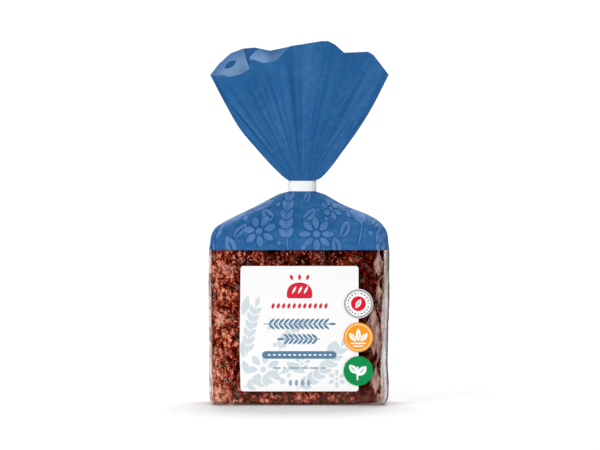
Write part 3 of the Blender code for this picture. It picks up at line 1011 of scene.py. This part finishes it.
# the shoulders' print, in millimetres across the panel and above the print line
shoulderBlades = (
    # base, length, width, lean in degrees
    ((-50, 3), 12, 5, 62), ((-38, 14), 12, 4.6, 58), ((-26, 20), 11, 4.2, 66),
    ((-12.5, 15), 10, 4.4, -58), ((2, 14.5), 10, 4.4, 52), ((3, 23), 9, 3.8, 40),
    ((20, 6), 10, 4.6, 30), ((29, 21.5), 11, 4.4, -66), ((38, -2), 11, 5, 12), ((36, 12), 9, 4, 60),
    ((51, 15), 10, 4.2, -52), ((14, 27.5), 8, 3.2, -30), ((-30, -3), 11, 5, -24), ((-31, 6), 9, 4, 36),
    ((19, -3), 10, 4.6, -12), ((-9, 29), 7, 2.8, -34), ((-40, 5), 11, 5, 8), ((37.5, 3), 10, 4.6, 20),
)
shoulderFigures = (
    (podField, (28.5, 3), 12, 4.6), (podField, (-40, 0), -8, 4.0), (podField, (-21.5, 22), 18, 3.2),
    (blossomField, (8.5, 8.0), 8.6, 8), (blossomField, (-19, 9.5), 8.0, 7, 20),
    (blossomField, (46.5, 6.5), 7.4, 8, 10), (blossomField, (18.5, 20.5), 5.4, 6),
    (earField, (-4.5, -4), 38, -8, 12, (6.2, 2.9), 6),
)
shoulderDiscs = (
    # centre, radius
    ((-27.4, 15.8), 1.3), ((-12.4, 22.6), 1.2), ((26.6, 17.6), 1.3), ((38.5, 20.4), 1.3),
    ((-45, 12.5), 1.3), ((11.0, 20.0), 1.0), ((-9.4, 3.6), 1.2), ((34.5, 8.6), 1.2), ((2.2, 1.4), 1.3),
    ((-48, -0.5), 1.4), ((14.2, 15.6), 1.0), ((-34, 23), 1.0), ((41, 16), 1.0),
)


def shoulderPrint(x, z, mirror=1):
    x = x * mirror
    figures = [(bladeField, *blade) for blade in shoulderBlades] + list(shoulderFigures)
    figures += [(discField, *disc) for disc in shoulderDiscs]
    return layered([draw(x, z, *numbers) for draw, *numbers in figures])


def rimPrint(x, z, below):
    # pale fields along the mouth's back edge, across the panel and below the edge, in millimetres
    first = (-32.4 + 0.05 * below + 0.02 * below**2 - x, 17 - below,
             -leafField(x, z, (-44.2, 199.4), 8.4, 3.2, 56))
    second = (x + 23.6 + 1.1 * below, x + 29.3, -2.5 - x, 12 - below - 0.02 * (x + 14) ** 2)
    third = (x - 6 + 0.3 * below, 24 - x, 13 - below - 0.03 * (x - 15) ** 2)
    fourth = (x - 31 + 0.2 * below, 53 - x, 10 - below)
    return np.maximum.reduce([np.minimum.reduce(sides) for sides in (first, second, third, fourth)])


# each part gives its points, how far they are inside a motif, how pale or dark its creases are painted as
# highlight and shade, and how far it is inside the mouth, where the print is painted paler as painted light

def shoulderPart():
    form, low = bagForm, bagForm["printLine"]
    steps = round((neckBottom - low) / film["shoulderSpacing"])
    heights = np.linspace(low, neckBottom - 0.3 * mm, steps)[:, None]
    x, y, outX, outY = filledForm(across, deep, heights)
    z = heights + 0 * x
    cling = 1 - ease(low, form["shoulder"] + 2 * mm, z)
    dip = film["shoulderDip"] * looseCrease(y, z) * ease(form["looseFrom"], 1, across) * cling
    dip = dip * ease(low, low + 5 * mm, z)
    x, y = x - outX * dip, y - outY * dip
    y += pleats(across, neckBottom - z) * ease(form["shoulder"], neckBottom - 3 * mm, z) * np.sign(deep)
    rise, line = creaseField(x, z, shoulderCreases)
    y -= rise * isFront
    # the print is squeezed with the panel as it narrows
    squeeze = mix(1, (through(bagOutline, heights, 1) + through(bagOutline, heights, 2)) / 2, 0.45)
    scale = film["printScale"]
    printX, printZ = x / (squeeze * scale) / mm, (z - low) / mm * film["printRise"] / scale
    panel = np.where(isFront > 0, shoulderPrint(printX, printZ), shoulderPrint(printX + 9, printZ - 3, -1))
    along = (y - backBy) / mm / scale
    sides = shoulderPrint(along + np.sign(across) * 17, printZ + 2)
    # its creases are painted with highlight on their crests and shade beside them
    return x, y, z, np.where(np.abs(deep) < 1, sides, panel), 0.7 * line * isFront, 0 * x


def neckPart():
    z = np.linspace(neckBottom, neckTop, 5)[:, None]
    halfX, halfY = bagForm["neckHalfWidth"], bagForm["neckHalfDepth"]
    x, y, _, _ = roundedPoint(across, deep, halfX, halfY, halfY)
    x, y, z = neckCentre + x + 0 * z, backBy + y + 0 * z, z + 0 * x
    return x, y, z, -5 + 0 * x, 0 * x, 0 * x


def fanPart():
    rises = (np.linspace(0, 1, film["fanRings"])[1:] ** 1.05)[:, None]
    x, y, z = fanForm(across, deep, rises)
    frontRise, frontLine = creaseField(x, z, frontCreases)
    backRise, backLine = creaseField(x, z, backCreases)
    y = y - frontRise * isFront + backRise * isBack
    y += pleats(across, z - neckTop) * ease(0, 0.05, rises)
    bands = np.where(isFront > 0, rays(x, z, 11), rays(x, z, 2))
    bands = bands * ease(0, 0.1, rises) * ease(1.05, 0.6, rises)
    bands = bands * mix(1, 0.55, ease(-6 * mm, 4 * mm, x)) * (isFront + isBack)
    y -= film["ray"] * bands * (isFront - isBack)
    below = (rimHeight(across, deep) - z) / mm
    gusset = np.where((across == -1) & (deep > -1), 5 - below, -5.0)
    motif = np.where(deep == 1, rimPrint(x / mm, z / mm, below), gusset)
    # the print of the back shows through the front as a paler tongue, and each side seam is painted darker,
    # as painted shade in its fold
    offMiddle = np.abs(x - 2.2 * mm)
    down = ease(189 * mm, 197 * mm, z - 0.25 * offMiddle)
    tongue = 0.55 * ease(6.2 * mm, 5.0 * mm, offMiddle) * down * isFront
    paintedSeamShade = 0.5 * ease(0.03, 0.0, np.abs(np.abs(across) - 0.965)) * ease(0.1, 0.4, rises) * isFront
    # the crease lines and the bands out from the neck are painted paler and darker as highlight and shade,
    # the side seams as shade
    creases = frontLine * isFront + backLine * isBack + tongue - paintedSeamShade + 1.7 * bands
    # the fields inside the mouth are painted paler deeper down, as painted light where the front panel
    # shades them
    return x, y, z, motif, creases, ease(0, 7, below) * (deep == 1) + 0 * x


def buildPrintedFilm(material):
    parts = (shoulderPart(), neckPart(), fanPart())
    x, y, z, motif, creaseLine, inner = (np.concatenate(rows) for rows in zip(*parts))
    points, faces = np.stack([x, y, z], 2).reshape(-1, 3), tubeFaces(len(x), stationCount)
    piece = makePiece("printed_film", points, faces, [material], "bread_bag")
    keepValues(piece, motif=motif, creaseLine=creaseLine, inner=inner)


printLook = {
    "tintSize": 22 * mm,
    "mottleSize": 4 * mm,
    "mottle": 0.3,
    "brushSize": 7 * mm,
    "washes": 0.24,
    "halo": 0.55,                 # of the dark line round each motif
    "roughness": 0.5,
    "specular": 0.1,
    "bump": 0.5 * mm,
}


def printedFilmMaterial():
    look, colours = printLook, filmColours
    material, tree, shader = newMaterial("printed film")
    motif, line, inner = valuesOf(tree, "motif", "creaseLine", "inner")
    tint = step(tree, noiseTexture(tree, look["tintSize"], 3), 0.35, 0.65)
    mottle = step(tree, noiseTexture(tree, look["mottleSize"], 4, 0.6), 0.45, 0.75)
    height = addNode(tree, "SeparateXYZ", {0: place(tree)}).outputs["Z"]
    brushed = noiseTexture(tree, look["brushSize"], 3, 0.6, stretched(tree, 0.7, 0.7, 1.6))
    washes = times(tree, step(tree, brushed, 0.5, 0.56), step(tree, height, neckTop, neckBottom))
    # painted highlights on crease crests, the back's print showing through as a tongue, and painted shade
    # beside creases, on seams and in the neck's bands
    ground = paint(tree, colours["deepBlue"], (tint, colours["blue"]),
                   (times(tree, mottle, look["mottle"]), colours["pale"]),
                   (times(tree, line, 0.35, clamp=True), colours["pale"]),
                   (times(tree, line, -0.8, clamp=True), colours["line"]),
                   (times(tree, washes, look["washes"]), colours["pale"]),
                   (times(tree, step(tree, motif, -0.7, -0.25), look["halo"]), colours["line"]))
    lilac = step(tree, noiseTexture(tree, 9 * mm, 1), 0.4, 0.6)
    # inside the mouth the pale print is painted paler, as painted light where the front panel shades it
    pale = paint(tree, colours["pale"], (lilac, colours["lilac"]),
                 (times(tree, step(tree, brushed, 0.56, 0.5), 0.2), colours["blue"]),
                 (inner, colours["paintedLightPale"]))
    colour = paint(tree, ground, (step(tree, motif, -0.06, 0.12), pale))
    setFinish(tree, shader, colour, look["roughness"], look["specular"])
    addBump(tree, shader, noiseTexture(tree, 5 * mm, 3, 0.55), look["bump"], 0.35)
    return material


buildPrintedFilm(printedFilmMaterial())
print("printed film made")


# the label and the stickers: thin closed sheets whose print is cut into them as plain shapes

def capsuleLoop(low, high, centre, tall, steps=8):
    radius = tall / 2
    angles = [math.pi * i / steps - math.pi / 2 for i in range(steps + 1)]
    right = [(high - radius + radius * math.cos(a), centre + radius * math.sin(a)) for a in angles]
    return right + [(low + radius - radius * math.cos(a), centre - radius * math.sin(a)) for a in angles]


def discLoop(centre, radius, steps=32):
    angles = [2 * math.pi * i / steps for i in range(steps)]
    return [(centre[0] + radius * math.cos(a), centre[1] + radius * math.sin(a)) for a in angles]


def leafLoop(base, length, width, angle, steps=9):
    # a pointed leaf that leans by an angle in degrees from upright
    turn = math.radians(angle)
    out = (math.sin(turn), math.cos(turn))
    shares = [i / steps for i in range(steps + 1)]
    sides = [(t, width / 2 * math.sin(math.pi * t) ** 0.85) for t in shares]
    sides += [(t, -w) for t, w in reversed(sides[1:-1])]
    return [(base[0] + length * t * out[0] + w * out[1], base[1] + length * t * out[1] - w * out[0])
            for t, w in sides]


def stemLoop(points, width):
    left, right = [], []
    for i, point in enumerate(points):
        before, after = points[max(i - 1, 0)], points[min(i + 1, len(points) - 1)]
        dx, dz = after[0] - before[0], after[1] - before[1]
        far = width / 2 / math.hypot(dx, dz)
        left.append((point[0] - dz * far, point[1] + dx * far))
        right.append((point[0] + dz * far, point[1] - dx * far))
    return right + left[::-1]


def earLoops(base, length, angle, bend, kernel, pairs, spread=34):
    points, grains = earParts(base, length, angle, bend, pairs, 0.9, 10.8, spread)
    return [stemLoop(points, 0.22 * kernel[1] + 0.15)] + [leafLoop(at, *kernel, lean) for at, lean in grains]


def blossomLoops(centre, radius, petals, turn=0.0):
    turns = [turn + 360 * i / petals for i in range(petals)]
    loops = [leafLoop(pointRound(centre, 0.28 * radius, angle), 0.72 * radius, 2.6 * radius / petals, angle)
             for angle in turns]
    return loops + [discLoop(centre, 0.17 * radius, 20)]


def insideLoop(points, loop):
    x, z = np.asarray(points, float).T
    inside = np.zeros(len(x), bool)
    for (startX, startZ), (endX, endZ) in zip(loop, loop[1:] + loop[:1]):
        if startZ != endZ:
            crossing = startX + (z - startZ) / (endZ - startZ) * (endX - startX)
            inside ^= ((startZ > z) != (endZ > z)) & (x < crossing)
    return inside


def buildSheet(name, outline, shapes, materials, boxLow, boxHigh, bend, spacing=2.5):
    # shapes are (loop, number of its material), the later ones on top, in millimetres from the middle
    loops = [outline] + [loop for loop, _ in shapes]
    points, edges = [], []
    for loop in loops:
        start = len(points)
        points += [Vector(point) for point in loop]
        edges += [(start + i, start + (i + 1) % len(loop)) for i in range(len(loop))]
    reachX, reachZ = max(x for x, _ in outline), max(z for _, z in outline)
    grid = [(x, z) for x in np.arange(-reachX + spacing, reachX - 1, spacing)
            for z in np.arange(-reachZ + spacing, reachZ - 1, spacing)]
    inner = insideLoop(grid, [(x * 0.97, z * 0.97) for x, z in outline])
    points += [Vector(point) for point, keep in zip(grid, inner) if keep]
    flat, _, triangles, _, _, _ = geometry.delaunay_2d_cdt(points, edges, [], 0, 1e-5)
    flat = np.array([tuple(point) for point in flat])
    triangles = np.array(triangles)
    middles = flat[triangles].mean(1)
    inks = np.zeros(len(triangles), int)
    for loop, ink in shapes:
        inks[insideLoop(middles, loop)] = ink
    # one side for the front and one for the back, joined by a wall round the edge
    centre = (Vector(boxLow) + Vector(boxHigh)) / 2
    x, z = flat[:, 0] * mm + centre.x, flat[:, 1] * mm + centre.z
    moved = bend(x, z)
    front = np.stack([x, boxLow.y + moved, z], 1)
    back = np.stack([x, boxHigh.y + moved, z], 1)
    count = len(flat)
    sides = {}
    for a, b, c in triangles.tolist():
        for edge in ((a, b), (b, c), (c, a)):
            sides[edge] = True
    wall = [(b, a, a + count, b + count) for a, b in sides if (b, a) not in sides]
    faces = triangles.tolist() + (triangles[:, ::-1] + count).tolist() + wall
    inks = inks.tolist() + [0] * (len(triangles) + len(wall))
    return makePiece(name, np.concatenate([front, back]), faces, materials, name, inks, smooth=False)


def plainMaterial(name, colour, roughness=0.45, specular=0.1):
    material, tree, shader = newMaterial(name)
    setFinish(tree, shader, srgb(*colour), roughness, specular)
    return material


label = {
    "cornerRadius": 1.7,
    "paper": (246, 246, 246),
    "pale": (208, 219, 223),
    "slate": (88, 128, 158),
    "soft": (140, 165, 182),
    "red": (214, 38, 58),
    "wave": 0.05 * mm,
}

# the label's pale plants, in millimetres from its middle
palePlants = (
    (earLoops, (-31, -16), 30, 3, 16, (6.4, 2.8), 6),
    (earLoops, (-2, -35.5), 38, 62, -34, (7, 3), 7),
    (blossomLoops, (-21.5, -24), 10.5, 7, 12),
    (blossomLoops, (22, -29.5), 5.6, 6),
    (earLoops, (-12, -13), 22, 20, 44, (5.4, 2.3), 5),
    (earLoops, (-33, -34.5), 24, 74, -10, (6, 2.6), 4),
    (blossomLoops, (1.5, -20.5), 5.2, 6, 10),
)
paleLeaves = (
    ((-30, -27), 9, 4.2, -22), ((-33.5, 8), 12, 4.4, 16), ((16, -14), 9, 3.8, 40), ((-8, -20), 13, 5, 118),
    ((-33, -17), 9, 3.4, -8), ((13, -20), 10, 4, 100),
)
paleDiscs = (
    ((-10, -31), 1.7), ((-6.4, -27.4), 1.2), ((-33, -8), 1.1), ((10, -15.5), 1.3), ((-14.6, -9.5), 1.3),
    ((28, -21), 1.5), ((-18, 0.5), 1.1), ((31, -25), 1.1),
)


def labelShapes():
    # inks: 0 paper, 1 pale print, 2 slate blue, 3 soft grey blue, 4 red
    pale = [loop for draw, *numbers in palePlants for loop in draw(*numbers)]
    pale += [leafLoop(*numbers) for numbers in paleLeaves] + [discLoop(*numbers) for numbers in paleDiscs]
    shapes = [(loop, 1) for loop in pale]
    # a loaf with slashes and three grains above it
    dome = [(7.5 * math.cos(a), 20.4 + 6.9 * math.sin(a) ** 0.8) for a in np.linspace(0, math.pi, 25)[1:-1]]
    loafLoop = [(-7.3, 18.6), (-6.6, 17.9), (6.6, 17.9), (7.3, 18.6), (7.6, 19.6)] + dome + [(-7.6, 19.6)]
    shapes.append((loafLoop, 4))
    shapes += [(leafLoop((x, 20.6), 5.2, 1.3, 28), 0) for x in (-4.4, -0.9, 2.6)]
    shapes += [(leafLoop((x, 28.6), 3.6, 1.9, lean), 4) for x, lean in ((-4.2, -18), (0, 0), (4.2, 18))]
    # rows of grains, ears and dashes
    shapes += [(leafLoop((-15.6 + 3.12 * i - 0.6, 11.7), 3.7, 1.9, 18), 4) for i in range(11)]
    shapes += [(loop, 2) for loop in earLoops((-21.2, 2.8), 39, 90, 0, (5.0, 1.5), 12, 42)]
    shapes += [(loop, 2) for loop in earLoops((12.2, -6.1), 21.5, -90, 0, (4.8, 1.5), 7, 42)]
    shapes.append((capsuleLoop(-22.2, 21.9, -15.5, 4.5), 2))
    shapes += [(leafLoop((-18.9 + 3 * i, -15.5), 2.1, 1.0, 90), 0) for i in range(13)]
    start = -15.7
    for length in (4.6, 1.8, 6.4, 3.2, 5.4, 2.6):
        shapes.append((capsuleLoop(start, start + length, -23.2, 0.95, 4), 3))
        start += length + 1.4
    return shapes + [(leafLoop((x, -34.2), 4.4, 2.0, 0), 3) for x in (-5.4, -1.8, 1.8, 5.4)]


def buildLabel():
    reachX, reachZ = (labelHigh.x - labelLow.x) / 2 / mm, (labelHigh.z - labelLow.z) / 2 / mm
    radius = label["cornerRadius"]
    outline = []
    for quarter, (sideX, sideZ) in enumerate(((1, 1), (-1, 1), (-1, -1), (1, -1))):
        for i in range(9):
            a = math.pi / 2 * (quarter + i / 8)
            outline.append((sideX * (reachX - radius) + radius * math.cos(a),
                            sideZ * (reachZ - radius) + radius * math.sin(a)))
    inkNames = ("paper", "pale", "slate", "soft", "red")
    inks = [plainMaterial("label " + name, label[name]) for name in inkNames]

    def bend(x, z):
        return label["wave"] * (0.5 + 0.5 * noiseAt(x, 0 * x, z, 24 * mm))

    buildSheet("front_label", outline, labelShapes(), inks, labelLow, labelHigh, bend)


stickers = {
    "badge_red": ((246, 246, 246), (140, 144, 148), (226, 20, 44), (60, 58, 62)),
    "badge_orange": ((246, 154, 34), (252, 250, 244), (252, 214, 150)),
    "badge_green": ((8, 142, 76), (252, 253, 252)),
    "bend": 0.3 * mm,             # how far each sinks past the label's edge
    "edgeSteps": 72,
}


def redShapes():
    # a grey twisted ring, a ring of dashes and a red disc with one grain
    shapes = [(discLoop((0, 0), 8.45, 56), 1), (discLoop((0, 0), 7.35, 56), 0)]
    for angle in range(0, 360, 9):
        shapes.append((leafLoop(pointRound((0, 0), 7.42, angle), 1.2, 0.28, angle + 38), 0))
    for i in range(20):
        turn, size = math.radians(18 * i), 1.35 if i % 5 else 0.6
        x, z = pointRound((0, 0), 6.15, 18 * i)
        start = (x - size / 2 * math.cos(turn), z + size / 2 * math.sin(turn))
        shapes.append((leafLoop(start, size, 0.75, 90 + 18 * i), 3))
    return shapes + [(discLoop((0, 0), 4.4), 2), (leafLoop((-1.5, -2.7), 6.2, 2.9, 29), 0),
                     (leafLoop((-1.1, -2.0), 4.6, 0.5, 29), 2)]


def orangeShapes():
    # three grains over two furrows
    shapes = [(discLoop((0, 0), 7.9, 56), 2), (discLoop((0, 0), 7.25, 56), 0)]
    for x, length, lean in ((-1.3, 6.4, -40), (1.3, 6.4, 40), (0, 7.6, 0)):
        shapes.append((leafLoop((x, -2.4), length, 3.0, lean), 1))
        shapes.append((leafLoop((x * 1.25, -1.4), length * 0.62, 0.45, lean), 0))
    return shapes + [(capsuleLoop(-4.6, 4.6, -3.6, 0.8, 4), 1), (capsuleLoop(-3.0, 3.0, -5.2, 0.7, 4), 1)]


def greenShapes():
    # two leaves on a stem
    return [(stemLoop(bent((-0.4, -5.4), 8, -6, 14, 8), 0.9), 1),
            (leafLoop((-0.5, -2.8), 7.6, 4.4, 44), 1), (leafLoop((-0.7, -1.6), 7.0, 4.0, -42), 1),
            (leafLoop((0.5, -1.6), 5.0, 0.5, 44), 0), (leafLoop((-1.5, -0.6), 4.6, 0.5, -42), 0)]


def buildStickers():
    prints = {"badge_red": redShapes, "badge_orange": orangeShapes, "badge_green": greenShapes}
    for name, draw in prints.items():
        low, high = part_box(name)
        outline = discLoop((0, 0), (high.x - low.x) / 2 / mm, stickers["edgeSteps"])
        inks = [plainMaterial(f"{name} ink {i}", colour) for i, colour in enumerate(stickers[name])]

        def bend(x, z):
            return stickers["bend"] * ease(labelHigh.x - 1 * mm, labelHigh.x + 4 * mm, x)

        buildSheet(name, outline, draw(), inks, low, high, bend, 1.5)


buildLabel()
buildStickers()
print("label and stickers made")


# the tape round the neck

tape = {
    "halfWidth": 7.7 * mm,
    "halfDepth": 5.0 * mm,
    "gap": 0.3 * mm,
    "thickness": 0.45 * mm,
    "lift": 0.15 * mm,
    "lap": 0.17,                  # share of a turn
    "squareness": 2.7,
    "steps": 220,
    "rows": 14,
    "ripple": 0.06 * mm,
}


def buildTape(material):
    form = tape
    turn = np.linspace(-form["lap"] / 2, 1 + form["lap"] / 2, form["steps"])[:, None]
    lift = (form["thickness"] + form["lift"]) * ease(1 - 1.6 * form["lap"], 1 - 0.6 * form["lap"], turn)
    # the section: up the outside, down the inside
    rise = np.linspace(0, 1, form["rows"])
    height = np.concatenate([rise, rise[::-1]])[None, :]
    outside = np.concatenate([np.ones(form["rows"]), np.zeros(form["rows"])])[None, :]
    angle = math.pi / 2 + 2 * math.pi * turn
    x, y = np.cos(angle), np.sin(angle)
    power = form["squareness"]
    swell = (np.abs(x) ** power + np.abs(y) ** power) ** (-1 / power)
    wave = ridges(x * 9 * mm, y * 6 * mm, height * 6 * mm * 0.35 + 0 * x, 3.4 * mm, 2.0, 3)
    rim = np.clip(np.minimum(height, 1 - height) * 6, 0, 1)
    reach = form["gap"] + lift + form["thickness"] * outside - form["ripple"] * wave * outside * rim
    points = np.stack([neckCentre + x * swell * (form["halfWidth"] + reach),
                       backBy + y * swell * (form["halfDepth"] + reach),
                       mix(neckBottom, neckTop, height) + 0 * reach], 2)
    stations = 2 * form["rows"]
    faces = tubeFaces(form["steps"], stations)
    for ring in (0, form["steps"] - 1):
        start = ring * stations
        cap = [(start + i, start + i + 1, start + stations - 2 - i, start + stations - 1 - i)
               for i in range(form["rows"] - 1)]
        faces += [quad[::-1] for quad in cap] if ring else cap
    points = points.reshape(-1, 3)
    makePiece("neck_tape", points, faces, [material], "neck_tape", smooth=False)


buildTape(plainMaterial("white tape", (252, 255, 255), 0.4))
print("tape made")


# the stage, the light and the camera

stage = {
    "photoWidth": 600,            # pixels of the photograph
    "pixel": 0.59 * mm,           # size of one of them on the bag
    "centre": (0.77 * mm, 106.8 * mm),
    "distance": 3.0,
    "elevation": 1.3,             # degrees that the camera looks down
    "floorRadius": 0.42,
    "fadeFrom": 0.12,
    "whiteness": 1.05,            # of the world where the camera sees it
    "frontLight": 0.16,           # of the world as a light, before and behind the bag
    "backLight": 0.85,
}


def buildStage():
    # a white floor that fades out round the bag, so that the white world shows beyond it
    reach = stage["floorRadius"]
    edge = [(reach * math.cos(a), reach * math.sin(a), 0) for a in np.linspace(0, 2 * math.pi, 97)[:-1]]
    mesh = bpy.data.meshes.new("floor")
    mesh.from_pydata(edge, [], [tuple(range(96))])
    floor = bpy.data.objects.new("floor", mesh)
    bpy.context.scene.collection.objects.link(floor)
    material, tree, shader = newMaterial("white floor")
    setFinish(tree, shader, (0.9, 0.9, 0.905, 1), 1.0, 0.0)
    away = addNode(tree, "VectorMath", {0: place(tree)}, operation="LENGTH").outputs["Value"]
    fade = step(tree, away, stage["fadeFrom"], reach)
    clear = addNode(tree, "BsdfTransparent")
    both = addNode(tree, "MixShader", {0: fade, 1: shader.outputs[0], 2: clear.outputs[0]})
    showSurface(tree, both)
    mesh.materials.append(material)
    world = bpy.data.worlds.new("studio")
    bpy.context.scene.world = world
    world.use_nodes = True
    tree = world.node_tree
    background = tree.nodes["Background"]
    background.inputs["Color"].default_value = (1, 1, 1, 1)
    toward = addNode(tree, "SeparateXYZ", {0: addNode(tree, "TexCoord").outputs["Generated"]}).outputs["Y"]
    behind = step(tree, toward, -0.2, 0.6)
    light = addNode(tree, "Mix", {0: behind, 2: stage["frontLight"], 3: stage["backLight"]}).outputs[0]
    seen = addNode(tree, "LightPath").outputs["Is Camera Ray"]
    tree.links.new(addNode(tree, "Mix", {0: seen, 2: light, 3: stage["whiteness"]}).outputs[0],
                   background.inputs["Strength"])
    bpy.context.scene.view_settings.view_transform = "Standard"


lamps = (
    # name, place, size, watts
    ("key", (-0.85, -1.15, 0.6), 0.7, 14.6),
    ("fill", (0.85, -1.15, 0.8), 0.9, 7.6),
    ("top", (0.05, 0.75, 1.15), 0.7, 12.0),
)


def addLamps():
    aim = Vector((0, 0, 0.1))
    for name, at, size, watts in lamps:
        data = bpy.data.lights.new(name, "AREA")
        data.shape, data.size, data.energy = "SQUARE", size, watts
        lamp = bpy.data.objects.new(name, data)
        lamp.location = at
        lamp.rotation_euler = (aim - Vector(at)).to_track_quat("-Z", "Y").to_euler()
        bpy.context.scene.collection.objects.link(lamp)


def addCamera():
    data = bpy.data.cameras.new("camera")
    camera = bpy.data.objects.new("camera", data)
    bpy.context.scene.collection.objects.link(camera)
    data.sensor_width = 36
    data.lens = data.sensor_width * stage["distance"] / (stage["photoWidth"] * stage["pixel"])
    tilt = math.radians(stage["elevation"])
    aim = Vector((stage["centre"][0], frontY, stage["centre"][1]))
    back = Vector((0, -math.cos(tilt), math.sin(tilt)))
    camera.location = aim + back * stage["distance"]
    camera.rotation_euler = (-back).to_track_quat("-Z", "Y").to_euler()
    data.clip_start, data.clip_end = 0.1, 60
    bpy.context.scene.camera = camera


buildStage()
addLamps()
addCamera()
print("stage, light and camera made")
